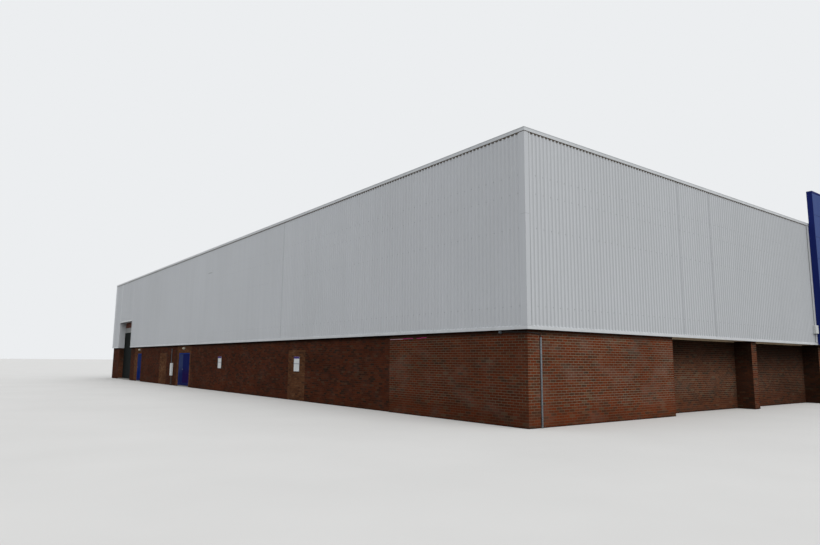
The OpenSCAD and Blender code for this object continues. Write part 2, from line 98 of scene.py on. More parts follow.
class Piece:
    def __init__(self, *finishes):
        self.finishes = finishes
        self.points = []
        self.tones = []
        self.faces = []
        self.kinds = []

    def add(self, points, faces, kind=0, tone=0.5):
        start = len(self.points)
        self.points += points
        self.tones += tone if isinstance(tone, list) else [tone] * len(points)
        self.faces += [[start + i for i in face] for face in faces]
        self.kinds += [kind] * len(faces)

    def box(self, x0, x1, y0, y1, z0, z1, kind=0, tone=0.5):
        points = [(x, y, z) for z in (z0, z1) for y in (y0, y1) for x in (x0, x1)]
        self.add(points, BOX_FACES, kind, tone)

    def stack(self, rings, kind=0, closed=False, tone=0.5):
        """Joins one ring of corners to the next."""
        points = [point for corners in rings for point in corners]
        self.add(points, skin(len(rings[0]), len(rings), closed), kind, tone)

    def make(self, name, slot, *nodes, body="building"):
        mesh = bpy.data.meshes.new(name)
        mesh.from_pydata([Vector(p) + corner for p in self.points], [], self.faces)
        mesh.polygons.foreach_set("material_index", self.kinds)
        mesh.attributes.new("tone", "FLOAT", "POINT").data.foreach_set("value", self.tones)
        for finish in self.finishes:
            mesh.materials.append(finish)
        mesh.validate()
        piece = bpy.data.objects.new(name, mesh)
        bpy.context.scene.collection.objects.link(piece)
        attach(piece, body)
        if nodes:
            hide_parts(*nodes)
        print(name, len(self.faces), "faces")
        return piece


def ring(radius, sides, middle=(0.0, 0.0)):
    """The corners of a circle in a plane, against the clock."""
    turns = [2 * math.pi * i / sides for i in range(sides)]
    return [(middle[0] + radius * math.cos(turn), middle[1] + radius * math.sin(turn)) for turn in turns]


print("a box has", len(BOX_FACES), "faces, a bent strip of three rings", len(skin(4, 3)))

# %% [markdown]
# ## Finishes from nodes
# A finish here is a small chain: a pattern, a colour ramp that reads it, and the shader. The pattern
# is measured in metres of the object itself, so it stays at its true scale on every piece. These
# helpers add one node each and link it in.
# %% Helpers for the finishes
def paint(red, green, blue):
    """A colour as it reads on a screen, 0 to 255, turned into the light values that shaders use."""
    screen = [value / 255 for value in (red, green, blue)]
    light = [v / 12.92 if v <= 0.04 else ((v + 0.055) / 1.055) ** 2.4 for v in screen]
    return (*light, 1.0)


class Finish:
    def __init__(self, name, roughness, metallic=0.0, mirror=0.3):
        self.material = bpy.data.materials.new(name)
        self.material.use_nodes = True
        self.tree = self.material.node_tree
        self.shader = self.tree.nodes["Principled BSDF"]
        self.shader.inputs["Roughness"].default_value = roughness
        self.shader.inputs["Metallic"].default_value = metallic
        self.shader.inputs["Specular IOR Level"].default_value = mirror

    def node(self, kind, inputs, **settings):
        made = self.tree.nodes.new(kind)
        for key, value in settings.items():
            setattr(made, key, value)
        for socket, value in inputs.items():
            if isinstance(value, bpy.types.NodeSocket):
                self.tree.links.new(value, made.inputs[socket])
            else:
                made.inputs[socket].default_value = value
        return made

    def place(self, stretch=(1, 1, 1)):
        spot = self.node("ShaderNodeTexCoord", {}).outputs["Object"]
        return self.node("ShaderNodeMapping", {"Vector": spot, "Scale": stretch}).outputs["Vector"]

    def noise(self, scale, stretch=(1, 1, 1), detail=3.0):
        inputs = {"Vector": self.place(stretch), "Scale": scale, "Detail": detail}
        return self.node("ShaderNodeTexNoise", inputs).outputs["Fac"]

    def ramp(self, value, *stops):
        made = self.node("ShaderNodeValToRGB", {"Fac": value})
        colours = made.color_ramp.elements
        for place, colour in stops:
            spot = colours.new(place) if place not in (stops[0][0], stops[-1][0]) else None
            spot = spot or colours[0 if place == stops[0][0] else len(colours) - 1]
            spot.position = place
            spot.color = colour
        return made.outputs["Color"]

    def grey(self, value, low, high, out_low=0.0, out_high=1.0):
        inputs = {"Value": value, "From Min": low, "From Max": high, "To Min": out_low, "To Max": out_high}
        return self.node("ShaderNodeMapRange", inputs).outputs["Result"]

    def mix(self, share, first, second, how="MIX"):
        made = self.node("ShaderNodeMix", {0: share, 6: first, 7: second}, data_type="RGBA", blend_type=how)
        return made.outputs[2]

    def times(self, first, second):
        return self.node("ShaderNodeMath", {0: first, 1: second}, operation="MULTIPLY").outputs[0]

    def along(self, axis):
        """Where a point lies along X, Y or Z of its object, in metres."""
        spot = self.node("ShaderNodeTexCoord", {}).outputs["Object"]
        return self.node("ShaderNodeSeparateXYZ", {"Vector": spot}).outputs[axis]

    def tone(self):
        return self.node("ShaderNodeAttribute", {}, attribute_name="tone").outputs["Fac"]

    def sunless(self):
        """1 on faces that look towards -x, 0 on faces that look any other way."""
        way = self.node("ShaderNodeNewGeometry", {}).outputs["True Normal"]
        return self.grey(self.node("ShaderNodeSeparateXYZ", {"Vector": way}).outputs["X"], 0.0, -1.0)

    def colour(self, value):
        self.tree.links.new(value, self.shader.inputs["Base Color"])

    def shine(self, value):
        """How rough the surface is from place to place."""
        self.tree.links.new(value, self.shader.inputs["Roughness"])

    def relief(self, value, depth, strength):
        """Small dents that only the shading shows."""
        made = self.node("ShaderNodeBump", {"Height": value, "Distance": depth, "Strength": strength})
        self.tree.links.new(made.outputs["Normal"], self.shader.inputs["Normal"])


print("helpers of a finish:", [name for name in vars(Finish) if not name.startswith("_")])

# %% [markdown]
# ## Painted shade and weather on brick
# Faces that look towards -x get painted shade, since the sun never reaches them: the material reads
# which way a face looks and darkens it. Painted shade also darkens the brick under the drip and the
# soffit, and the recesses towards the entrance. Splashed mud lies near the foot, and the lowest
# centimetres are darker. A picture of dirt and shade could be wrapped round the hall. Here each kind
# is one more mix over the colour, steered by height or place, so it fits a wall of any size.
# %% Painted shade and mud
WHITE = (1, 1, 1, 1)
SPLASH_H = 0.1
# Near-black brown for the painted shade under the overhang and by the entrance, and for the darker foot.
NEAR_BLACK_BROWN = paint(14, 9, 7)
# Colour of the painted shade on faces that look towards -x.
SUNLESS_PAINTED_SHADE = paint(20, 12, 9)
# How far from the middle of the front the painted shade by the entrance starts and where it is full.
UNSHADED_FROM_MIDDLE, SHADED_FROM_MIDDLE = 7.6, 4.6


def shade_and_weather(made, colour, sunless_shade, shade_h, overhang_shade, splash, entrance):
    """Painted shade on sunless faces, under the overhang and by the entrance; mud and a darker foot near
    the ground.
    """
    # Painted shade on faces that look towards -x.
    colour = made.mix(made.times(made.sunless(), sunless_shade), colour, SUNLESS_PAINTED_SHADE)
    # Painted shade that grows towards the entrance.
    if entrance:
        off = made.node("ShaderNodeMath", {0: made.along("X")}, operation="ABSOLUTE").outputs[0]
        near = made.grey(off, UNSHADED_FROM_MIDDLE, SHADED_FROM_MIDDLE, 0.0, entrance)
        colour = made.mix(near, colour, NEAR_BLACK_BROWN)
    # Painted shade under the drip and the soffit.
    high = made.grey(made.along("Z"), plinth_h - shade_h, plinth_h - shade_h * 0.35)
    colour = made.mix(made.times(high, overhang_shade), colour, NEAR_BLACK_BROWN)
    low = made.grey(made.along("Z"), SPLASH_H, 0.0)
    wet = made.times(low, made.grey(made.noise(3.1), 0.3, 0.7, 0.3, 1.0))
    colour = made.mix(made.times(wet, splash), colour, paint(46, 30, 20))
    # The lowest 16 mm above the ground are darker.
    foot = made.grey(made.along("Z"), 0.016, 0.004)
    return made.mix(made.times(foot, 0.7), colour, NEAR_BLACK_BROWN)


print("mud is splashed up to", SPLASH_H, "m")

# %% [markdown]
# ## Brick, old and new
# Facing bricks come out of the kiln in a spread of reds, with a few that are nearly brown. The tone
# that each brick carries picks its colour from a ramp. Fine noise gives the sanded face, wide noise
# the weathering and a pale bloom of salt. The fine noise also drives the relief, so that dark spots
# lie in small dents. Dry, rough brick hardly mirrors anything.
# %% Sanded brick and sandy mortar
GRIT, SAND = 95.0, 260.0


def brick_finish(name, stops, sunless_shade=0.3, shade_h=0.1, overhang_shade=0.75, splash=0.4, bloom=0.07, entrance=0.0):
    made = Finish(name, 0.95, mirror=0.02)
    colour = made.ramp(made.tone(), *stops)
    grit = made.noise(GRIT, detail=5.0)
    sanded = made.ramp(grit, (0.25, paint(140, 132, 128)), (0.75, WHITE))
    colour = made.mix(0.5, colour, sanded, "MULTIPLY")
    worn = made.ramp(made.noise(0.9, (1, 1, 2.2), 4.0), (0.3, paint(190, 184, 180)), (0.62, WHITE))
    colour = made.mix(0.6, colour, worn, "MULTIPLY")
    salt = made.grey(made.noise(2.3, (1, 1, 1.5), 5.0), 0.5, 0.72, 0.0, bloom)
    colour = made.mix(salt, colour, paint(146, 136, 126))
    made.colour(shade_and_weather(made, colour, sunless_shade, shade_h, overhang_shade, splash, entrance))
    made.shine(made.grey(grit, 0.3, 0.7, 0.86, 0.98))
    made.relief(grit, 0.0012, 0.7)
    return made.material


def mortar_finish(name, pale, dark, sunless_shade, shade_h=0.1, overhang_shade=0.75, entrance=0.0):
    made = Finish(name, 0.95, mirror=0.02)
    sand = made.noise(SAND, detail=2.0)
    worn = made.noise(1.3, (1, 1, 1.6), 4.0)
    colour = made.mix(made.grey(worn, 0.3, 0.7), pale, dark)
    rusty = made.grey(made.along("Z"), 0.34, 0.16, 0.0, 0.7)
    colour = made.mix(rusty, colour, paint(92, 58, 38))
    made.colour(shade_and_weather(made, colour, sunless_shade, shade_h, overhang_shade, 0.5, entrance))
    made.relief(sand, 0.0006, 0.6)
    return made.material


print("spots of", round(1000 / GRIT), "mm on brick and", round(1000 / SAND), "mm in mortar")

# %% [markdown]
# ## Five bricks and five mortars
# The corner has the lightest brick. Along the long side it is darker, in the recesses it is darkened by
# painted shade, round the doors newer and more orange, and over the loading bay pink and lighter, a
# painted lift for a face that lies in shade. The mortar differs as much: pale by the corner, dark along
# the long side. Each set is the same two functions with other colours, which is how one material becomes
# a family in Blender.
# %% Brick and mortar finishes
old_brick = brick_finish("brick_red_multi", (
    (0.0, paint(80, 54, 40)), (0.18, paint(88, 54, 37)), (0.32, paint(96, 52, 33)),
    (0.5, paint(104, 52, 30)), (0.75, paint(112, 55, 31)), (0.9, paint(108, 64, 41)),
    (1.0, paint(101, 73, 54))), bloom=0.13)
far_brick = brick_finish("brick_red_weathered", (
    (0.0, paint(62, 45, 36)), (0.2, paint(72, 44, 33)), (0.36, paint(84, 45, 31)),
    (0.5, paint(94, 47, 30)), (0.75, paint(104, 54, 33)), (1.0, paint(94, 67, 50))),
    sunless_shade=0.36, shade_h=0.08, bloom=0.05)
# The recess brick gets painted shade up to 0.7 m under the soffit and towards the entrance.
deep_brick = brick_finish("brick_recess_painted_shade", (
    (0.0, paint(70, 53, 42)), (0.2, paint(76, 51, 39)), (0.4, paint(88, 53, 38)),
    (0.62, paint(97, 56, 38)), (0.85, paint(106, 64, 43)), (1.0, paint(98, 76, 58))),
    shade_h=0.7, overhang_shade=0.7, bloom=0.05, entrance=0.42)
new_brick = brick_finish("brick_newer_orange", (
    (0.0, paint(96, 66, 48)), (0.3, paint(120, 79, 54)), (0.7, paint(140, 93, 62)),
    (1.0, paint(150, 109, 78))), sunless_shade=0.48, shade_h=0.06, splash=0.3)
# Brick and mortar over the bay are lighter, a painted lift of a face in the lining's shade, with no painted
# shade under the overhang.
head_brick = brick_finish("brick_bay_head", (
    (0.0, paint(104, 66, 58)), (0.5, paint(128, 76, 66)), (1.0, paint(140, 92, 80))),
    sunless_shade=0.1, overhang_shade=0.0)
head_mortar = mortar_finish("mortar_bay_head", paint(120, 104, 92), paint(96, 82, 72), 0.1, overhang_shade=0.0)
near_mortar = mortar_finish("mortar_pale", paint(131, 123, 106), paint(106, 99, 85), 0.42)
pier_mortar = mortar_finish("mortar_pier", paint(122, 106, 86), paint(100, 86, 70), 0.86)
# The recess mortar gets the same painted shade as its brick.
deep_mortar = mortar_finish("mortar_recess_painted_shade", paint(122, 108, 90), paint(101, 89, 74), 0.6,
                            shade_h=0.7, overhang_shade=0.7, entrance=0.42)
far_mortar = mortar_finish("mortar_weathered", paint(84, 66, 52), paint(64, 49, 39), 0.36, 0.08)
print("brick and mortar finishes:", len(bpy.data.materials))

# %% [markdown]
# ## Coated sheet
# The cladding is steel with a white coating. It is never quite even: rain draws faint streaks down
# it, dust gathers low down, and one sheet is a little paler than the next. All of that is noise that
# is stretched along z, mixed in softly. The flanks of the ribs that look towards the corner are greyed
# as painted shade, and so are the grooves of the laps and the bead by the corner angle; on the front the
# hollows and crests also get darker towards the middle. The tone of each corner says how much. A long
# dark scrape on the loading side is noise that fades with its distance from one spot, measured in a
# space that is squeezed along y.
# %% White coated sheet
SCRAPE_Y, SCRAPE_Z, SQUEEZE = 12.4, 3.408, 0.06
SCRAPE = (corner.x - clad_out, (corner.y + SCRAPE_Y) * SQUEEZE, SCRAPE_Z)


def sheet_finish(name, clean, dusty, streak, roughness=0.42, low=None, mirror=0.3, grooves=False):
    made = Finish(name, roughness, mirror=mirror)
    streaks = made.noise(9.0, (1, 1, 0.05), 5.0)
    wide = made.noise(0.45, (1, 1, 0.5), 3.0)
    colour = made.mix(made.times(made.grey(streaks, 0.42, 0.72), streak), clean, dusty)
    colour = made.mix(made.grey(wide, 0.35, 0.65, 0.0, 0.28), colour, dusty)
    if low is not None:
        patchy = made.grey(made.noise(2.4, (1, 1, 0.3)), 0.3, 0.7)
        foot = made.times(made.grey(made.along("Z"), low + 0.35, low), patchy)
        colour = made.mix(made.times(foot, 0.35), colour, dusty)
    if grooves:
        # The tone greys the sheet to this colour: painted shade on flanks, lap grooves and the corner bead,
        # and a darker middle on the front.
        colour = made.mix(made.tone(), colour, paint(118, 121, 123))
        inputs = {0: made.place((1.0, SQUEEZE, 1.0)), 1: SCRAPE}
        away = made.node("ShaderNodeVectorMath", inputs, operation="DISTANCE").outputs["Value"]
        ragged = made.grey(made.noise(20.0), 0.4, 0.55)
        scraped = made.times(made.grey(away, 0.018, 0.006, 0.0, 0.6), ragged)
        colour = made.mix(scraped, colour, paint(70, 72, 74))
    made.colour(colour)
    made.shine(made.grey(streaks, 0.3, 0.8, roughness - 0.06, roughness + 0.14))
    made.relief(made.noise(1.6, (1, 1, 0.4), 1.0), 0.002, 0.2)
    return made.material


white_sheet = sheet_finish("cladding_white_coated", paint(188, 191, 194), paint(172, 175, 177), 0.15,
                           low=plinth_h, grooves=True)
white_fold = sheet_finish("flashing_white_folded", paint(192, 195, 197), paint(170, 173, 174), 0.4, 0.38)
print("scrape on the loading side at height", SCRAPE_Z, "m")

# %% [markdown]
# ## Bricks in courses
# Courses are laid in stretcher bond: every other course starts half a brick along. Where a door or a
# bricked-up opening comes, the bricks are cut. An Array with a Boolean could do both, but it would cut
# through mortar and brick alike. Here each brick is cut as a bricklayer does it, and scraps are left
# out.
# %% Cutting bricks into courses
BRICK_L, BRICK_H, JOINT = 0.1075, 0.0325, 0.005
COURSE, PITCH = BRICK_H + JOINT, BRICK_L + JOINT
RAKED, EDGE, UNEVEN = 0.0014, 0.0007, 0.0004
LEAST_L, LEAST_H, LEAST_START, LEAST_REST, TONE_SPREAD = 0.012, 0.005, 0.02, 0.03, 0.24
BRICK_FACES = [(0, 1, 2, 3), (0, 4, 5, 1), (1, 5, 6, 2), (2, 6, 7, 3), (3, 7, 4, 0), (7, 6, 5, 4)]


def cut(brick, hole):
    """What is left of a brick, start, end, foot and top, outside a hole in the wall."""
    start, end, foot, top = brick
    if end <= hole[0] or start >= hole[1] or top <= hole[2] or foot >= hole[3]:
        return [brick]
    over = (max(start, hole[0]), min(end, hole[1]), max(foot, hole[3]), top)
    under = (max(start, hole[0]), min(end, hole[1]), foot, min(top, hole[2]))
    parts = [(start, hole[0], foot, top), (hole[1], end, foot, top), over, under]
    return [p for p in parts if p[1] - p[0] > LEAST_L and p[3] - p[2] > LEAST_H]


def courses(length, foot, top, shift, holes):
    """All the bricks of one flat face."""
    for row in range(int(foot / COURSE + 0.5), math.ceil(top / COURSE - 0.2)):
        z0 = max(row * COURSE, foot)
        z1 = min(row * COURSE + BRICK_H, top)
        at = -PITCH + (shift + row % 2 / 2) % 1 * PITCH
        while at < length - LEAST_START:
            end = at + BRICK_L if length - at - BRICK_L > LEAST_REST else length
            bricks = [(max(at, 0), end, z0, z1)] if end > LEAST_START else []
            for hole in holes:
                bricks = [part for brick in bricks for part in cut(brick, hole)]
            yield from bricks
            at = end + JOINT


print("bricks of", BRICK_L, "m in courses of", COURSE, "m:", round(plinth_h / COURSE), "courses")

# %% [markdown]
# ## One flat face at a time
# A wall is laid face by face. `Face` keeps where a face starts, the way it runs and the way it looks, so
# that the same bricks fit any wall. One brick is a flat block with its front edges eased. All of them
# go into one mesh, each with a tone of its own, since thousands of objects would slow Blender down.
# %% A face and its bricks
class Face:
    """One flat face of a wall: where it starts, the way it runs, its length and the way it looks."""

    def __init__(self, x, y, along, length, out, foot=0.0, top=plinth_h, shift=0.0, holes=(),
                 laid=True, kind=1):
        self.start = (x, y)
        self.along = {"x": (1, 0), "y": (0, 1)}[along]
        self.out = {"-x": (-1, 0), "+x": (1, 0), "-y": (0, -1), "+y": (0, 1)}[out]
        self.length = length
        self.foot = foot
        self.top = top
        self.shift = shift
        self.holes = holes
        self.laid = laid
        self.kind = kind

    def point(self, a, z, depth):
        """The place that lies a along the face, z high and depth in front of it."""
        return (self.start[0] + a * self.along[0] + depth * self.out[0],
                self.start[1] + a * self.along[1] + depth * self.out[1], z)

    def outward(self, faces):
        """Mesh faces that were listed for a wall that looks to -y, turned to look out of this one."""
        turned = self.along[1] * self.out[0] - self.along[0] * self.out[1] < 0
        return [tuple(reversed(face)) for face in faces] if turned else faces


def lay(piece, face, kind, dice):
    """Lays one flat face, each brick a hair behind the line or on it."""
    brick_faces = face.outward(BRICK_FACES)
    for a0, a1, z0, z1 in courses(face.length, face.foot, face.top, face.shift, face.holes):
        proud = dice.uniform(-UNEVEN, 0.0)
        eased = (a0 + EDGE, a1 - EDGE, z0 + EDGE, z1 - EDGE)
        points = [face.point(eased[i], eased[j], proud) for i, j in ((0, 2), (1, 2), (1, 3), (0, 3))]
        points += [face.point(a, z, -RAKED - 0.001) for a, z in ((a0, z0), (a1, z0), (a1, z1), (a0, z1))]
        tone = min(1.0, max(0.0, dice.gauss(0.5, TONE_SPREAD)))
        piece.add(points, brick_faces, kind, tone)


print("bricks in a metre of one course:", len(list(courses(1.0, 0, COURSE, 0, ()))))

# %% [markdown]
# ## A whole wall from its solid
# The mortar is the solid wall itself, drawn back by the depth of the raked joints. Its bricks are laid
# on top. The faces of the solid are sorted: those that look indoors get paint, those at a wall's end
# can get a mortar of their own, and the rest is plain mortar.
# %% A wall with its bricks
def covered(p, faces):
    """Whether one of the laid faces lies in front of this face of the solid wall."""
    middle = p.center - corner
    for face in faces:
        axis = 0 if face.out[0] else 1
        looks_out = p.normal.x * face.out[0] + p.normal.y * face.out[1] > 0.9
        if looks_out and abs(middle[axis] - face.start[axis]) < 0.01:
            return True
    return False


def brick_wall(name, node, slot, brick, mortar, faces, seed, end_mortar=None):
    """The solid wall with its faces drawn back by the depth of the raked joints, and its bricks."""
    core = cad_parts[node].data
    # Kind 3 takes the recess brick with its painted shade, for faces that lie in shade.
    piece = Piece(mortar, brick, inner_paint, deep_brick, end_mortar or mortar)
    points = [v.co - corner for v in core.vertices]
    for face in faces:
        axis = 0 if face.out[0] else 1
        for p in points:
            run = p[1 - axis] - face.start[1 - axis]
            if abs(p[axis] - face.start[axis]) < 1e-4 and -1e-3 < run < face.length + 1e-3:
                p[axis] -= face.out[axis] * RAKED
    indoors = Vector((-faces[0].out[0], -faces[0].out[1], 0))
    sorted_faces = {0: [], 2: [], 4: []}
    for p in core.polygons:
        inside = p.normal.dot(indoors) > 0.9 and not covered(p, faces)
        kind = 2 if inside else 4 if p.normal.x < -0.9 else 0
        sorted_faces[kind].append(p.vertices[:])
    for kind, chosen in sorted_faces.items():
        piece.add([tuple(p) for p in points], chosen, kind)
    dice = random.Random(seed)
    for face in faces:
        if face.laid:
            lay(piece, face, face.kind, dice)
    return piece.make(name, slot, node)


print("the joints lie", RAKED, "m behind the bricks")

# %% [markdown]
# ## Painted blockwork
# The inner faces of the walls are blockwork with a coat of pale paint, which shows through the entrance
# and past an open door. It is only seen from afar, so the joints of the blocks are no more than relief
# from a Brick Texture, with noise for the pores.
# %% Painted blockwork indoors
def block_finish():
    made = Finish("blockwork_painted", 0.75, mirror=0.15)
    inputs = {"Vector": made.place(), "Scale": 1.0, "Mortar Size": 0.004, "Brick Width": 0.225,
              "Row Height": 0.1125}
    blocks = made.node("ShaderNodeTexBrick", inputs).outputs["Fac"]
    pores = made.noise(70.0, detail=4.0)
    made.colour(made.ramp(pores, (0.3, paint(172, 171, 165)), (0.7, paint(190, 189, 183))))
    made.relief(made.mix(0.7, pores, blocks), 0.002, 0.5)
    return made.material


inner_paint = block_finish()
print("inner faces:", inner_paint.name)

# %% [markdown]
# ## The front: flush corner, recesses and piers
# Beside each corner the brick is flush with the front. Further on, the wall is set back under the
# cladding, and narrow piers keep the front line. Each `Face` below is one flat stretch of it. A
# Boolean could cut the recesses out of one big wall, but stretches that are laid one by one keep a
# proper bond. Where a pier stands against the recessed wall, no bricks are laid behind it.
# %% Front walls
brick_t = span("corner_walls")[3]
corner_l = marks("recess_returns", 0)[1]
recess_y, recess_in = span("recess_walls")[2:4]
screen_x = span("entrance_frame")[0]
piers = marks("front_piers", 0)
wall_l = screen_x - corner_l

brick_wall("brickwork_corner_walls", "corner_walls", "brick", old_brick, near_mortar, [
    Face(0, 0, "x", corner_l, "-y"),
    Face(front_l - corner_l, 0, "x", corner_l, "-y"),
    Face(corner_l, 0, "y", brick_t, "+x", shift=0.5),
    Face(front_l - corner_l, 0, "y", brick_t, "-x", shift=0.5),
    Face(0, 0, "y", brick_t, "-x", laid=False),
    Face(front_l, 0, "y", brick_t, "+x", laid=False),
], 11)
brick_wall("brickwork_recess_returns", "recess_returns", "brick", deep_brick, deep_mortar, [
    Face(corner_l, brick_t, "y", recess_y - brick_t, "+x"),
    Face(front_l - corner_l, brick_t, "y", recess_y - brick_t, "-x"),
], 12)


def behind_piers(start, left, right):
    """The stretches of the recessed wall that the piers cover."""
    pairs = zip(piers[left:right:2], piers[left + 1:right:2])
    return [(a - start, b - start, 0.0, plinth_h) for a, b in pairs]


brick_wall("brickwork_recess_walls", "recess_walls", "brick", deep_brick, deep_mortar, [
    Face(corner_l, recess_y, "x", wall_l, "-y", holes=behind_piers(corner_l, 0, 4)),
    Face(front_l - screen_x, recess_y, "x", wall_l, "-y", holes=behind_piers(front_l - screen_x, 4, 8)),
    Face(screen_x, recess_y, "y", recess_in - recess_y, "+x", shift=0.5),
    Face(front_l - screen_x, recess_y, "y", recess_in - recess_y, "-x", shift=0.5),
], 13)
pier_faces = []
for left, right in zip(piers[::2], piers[1::2]):
    pier_faces += [
        Face(left, 0, "x", right - left, "-y"),
        # The sides of the piers take the recess brick, darkened with painted shade.
        Face(left, 0, "y", recess_y, "-x", shift=0.5, kind=3),
        Face(right, 0, "y", recess_y, "+x", shift=0.5, kind=3)]
brick_wall("brickwork_front_piers", "front_piers", "brick", far_brick, pier_mortar, pier_faces, 14)

# %% [markdown]
# ## The long side
# The wall beside the corner stands 25 mm forward of the rest. Behind that step the brick is older and
# its mortar dark, but round the doors and in two old doorways it was laid later, in lighter brick.
# One bond runs through all of it, so each stretch starts where the last one left off.
# %% Long side with its doors
step_x = span("side_wall_middle")[0]
near_l = span("side_wall_near")[3]
double_door, side_door = span("double_door_frame"), span("side_door_frame")
infill_a, infill_b = marks("bricked_doorways", 1)[:2], marks("bricked_doorways", 1)[2:]
infill_tops = marks("bricked_doorways", 2)[-2:][::-1]
bay_marks = marks("bay_side_walls", 1)
bay_y, bay_end = bay_marks[1:3]
shutter_x = span("roller_shutter")[0]


def side_face(start, end, *holes, x=step_x):
    local = [(a - start, b - start, 0.0, top) for a, b, top in holes]
    return Face(x, start, "y", end - start, "-x", shift=0.5 - start / PITCH % 1, holes=local)


brick_wall("brickwork_side_near", "side_wall_near", "brick", old_brick, near_mortar, [
    side_face(0.0, near_l, x=0.0), Face(0, near_l, "x", step_x, "+y")], 21)
surround, side_surround = span("double_door_surround")[2:4], span("side_door_surround")[2:4]
brick_wall("brickwork_side_middle", "side_wall_middle", "brick", far_brick, far_mortar, [
    side_face(near_l, surround[0], (*infill_a, infill_tops[0]))], 22)
brick_wall("brickwork_side_far", "side_wall_far", "brick", far_brick, far_mortar, [
    side_face(surround[1], side_surround[0], (*infill_b, infill_tops[1]))], 23)
brick_wall("brickwork_double_door_surround", "double_door_surround", "newer_brick", new_brick, far_mortar, [
    side_face(*surround, (*double_door[2:4], double_door[5])),
    Face(step_x, double_door[2], "x", double_door[0] - step_x, "+y", top=double_door[5]),
    Face(step_x, double_door[3], "x", double_door[0] - step_x, "-y", top=double_door[5])], 24)
brick_wall("brickwork_side_door_surround", "side_door_surround", "newer_brick", new_brick, far_mortar, [
    side_face(*side_surround, (*side_door[2:4], side_door[5])),
    Face(step_x, side_door[3], "x", side_door[0] - step_x, "-y", top=side_door[5])], 25)
brick_wall("brickwork_bricked_doorways", "bricked_doorways", "newer_brick", new_brick, far_mortar, [
    Face(step_x, y0, "y", y1 - y0, "-x", top=top, shift=0.25)
    for (y0, y1), top in zip((infill_a, infill_b), infill_tops)], 26)
brick_wall("brickwork_bay_side_walls", "bay_side_walls", "brick", far_brick, far_mortar, [
    side_face(*bay_marks[:2]), side_face(bay_end, side_l),
    # The cheeks of the bay take the recess brick, darkened with painted shade.
    Face(step_x, bay_y, "x", shutter_x - step_x, "+y", kind=3),
    Face(step_x, bay_end, "x", shutter_x - step_x, "-y", kind=3)], 27)
head_x, _, head_y0, head_y1, head_z0, head_z1 = span("bay_head_wall")
brick_wall("brickwork_bay_head", "bay_head_wall", "brick", head_brick, head_mortar, [
    Face(head_x, head_y0, "y", head_y1 - head_y0, "-x", foot=head_z0, top=head_z1)], 28)

# %% [markdown]
# ## The walls out of sight
# The back and the right side are plain brick from end to end, in the bond and the mortar of the
# corner, since one firm built the whole hall. The back wall's end shows at the far end of the long
# side, so that end has the dark mortar of the long side. A number at the end of each call starts the
# dice of that wall, so that every run of this script lays the same bricks.
# %% Back and right side
brick_wall("brickwork_back_wall", "back_wall", "brick", old_brick, near_mortar, [
    Face(step_x, side_l, "x", front_l - step_x, "+y"),
    Face(step_x, side_l - brick_t, "y", brick_t, "-x", laid=False),
    Face(front_l, side_l - brick_t, "y", brick_t, "+x", laid=False)], 31, far_mortar)
brick_wall("brickwork_right_wall", "right_wall", "brick", old_brick, near_mortar, [
    Face(front_l, 0, "y", side_l, "+x")], 32)

# %% [markdown]
# ## Ribbed cladding
# The white sheets are rolled into ribs: a flat crest, a sloped flank, a flat hollow and the flank
# back. A run of them could be an Array of one rib, but here each corner of the profile is worked out
# along the wall, so that a run ends neatly at an opening. Where one sheet laps over the next, a narrow
# groove runs up a crest, greyed with painted shade. The grey tone of each corner is given for the ends
# of a run and for its middle.
# %% The profile of the ribs
RIB_PITCH, CREST_W, FLANK_W, RIB_DEPTH = 0.079, 0.022, 0.018, 0.011
CREST, HOLLOW, FLANK = 0, 1, 2
RIB = ((CREST_W, 0.0, CREST), (CREST_W + FLANK_W, RIB_DEPTH, HOLLOW),
       (RIB_PITCH - FLANK_W - 0.004, RIB_DEPTH, HOLLOW), (RIB_PITCH - FLANK_W, RIB_DEPTH, FLANK),
       (RIB_PITCH, 0.0, FLANK), (RIB_PITCH + 0.003, 0.0, CREST))
# A grey tone on the flanks only, as painted shade.
EVEN_FLANK_SHADE = (0.0, 0.0, 0.24)
# The painted shade on the rim of a lap groove.
LAP_STEP, LAP_RIM_SHADE = 0.008, 0.1
LAP_OUTER, LAP_INNER = (-0.0155, -0.004), (-0.015, -0.0045)
DRIP_H = span("drip_flashing")[5] - plinth_h
RIB_FOOT = plinth_h + DRIP_H - 0.008
RIB_TOP = clad_top + 0.045
clad_t = clad_in + clad_out


def rib_profile(length, laps, first_crest, ends, middle):
    """Places along a run with their depth behind the crests and their grey tone, from end to end."""
    spots = [(0.0, 0.0, 0.0)]
    start = first_crest - CREST_W
    while start + RIB_PITCH < length - CREST_W:
        for off, depth, part in RIB:
            inward = 1 - abs(2 * (start + off) / length - 1)
            spots.append((start + off, depth, ends[part] + (middle[part] - ends[part]) * inward))
        start += RIB_PITCH
    spots.append((length, 0.0, 0.0))
    for lap, groove_shade in laps:
        crest_end = first_crest + round((lap - first_crest) / RIB_PITCH) * RIB_PITCH
        near = next(i for i, spot in enumerate(spots) if spot[0] > crest_end - 1e-6)
        spots[near:near] = [
            (crest_end + LAP_OUTER[0], 0.0, LAP_RIM_SHADE), (crest_end + LAP_INNER[0], LAP_STEP, groove_shade),
            (crest_end + LAP_INNER[1], LAP_STEP, groove_shade), (crest_end + LAP_OUTER[1], 0.0, LAP_RIM_SHADE)]
    return spots


print("ribs along the front:", int(front_l / RIB_PITCH))

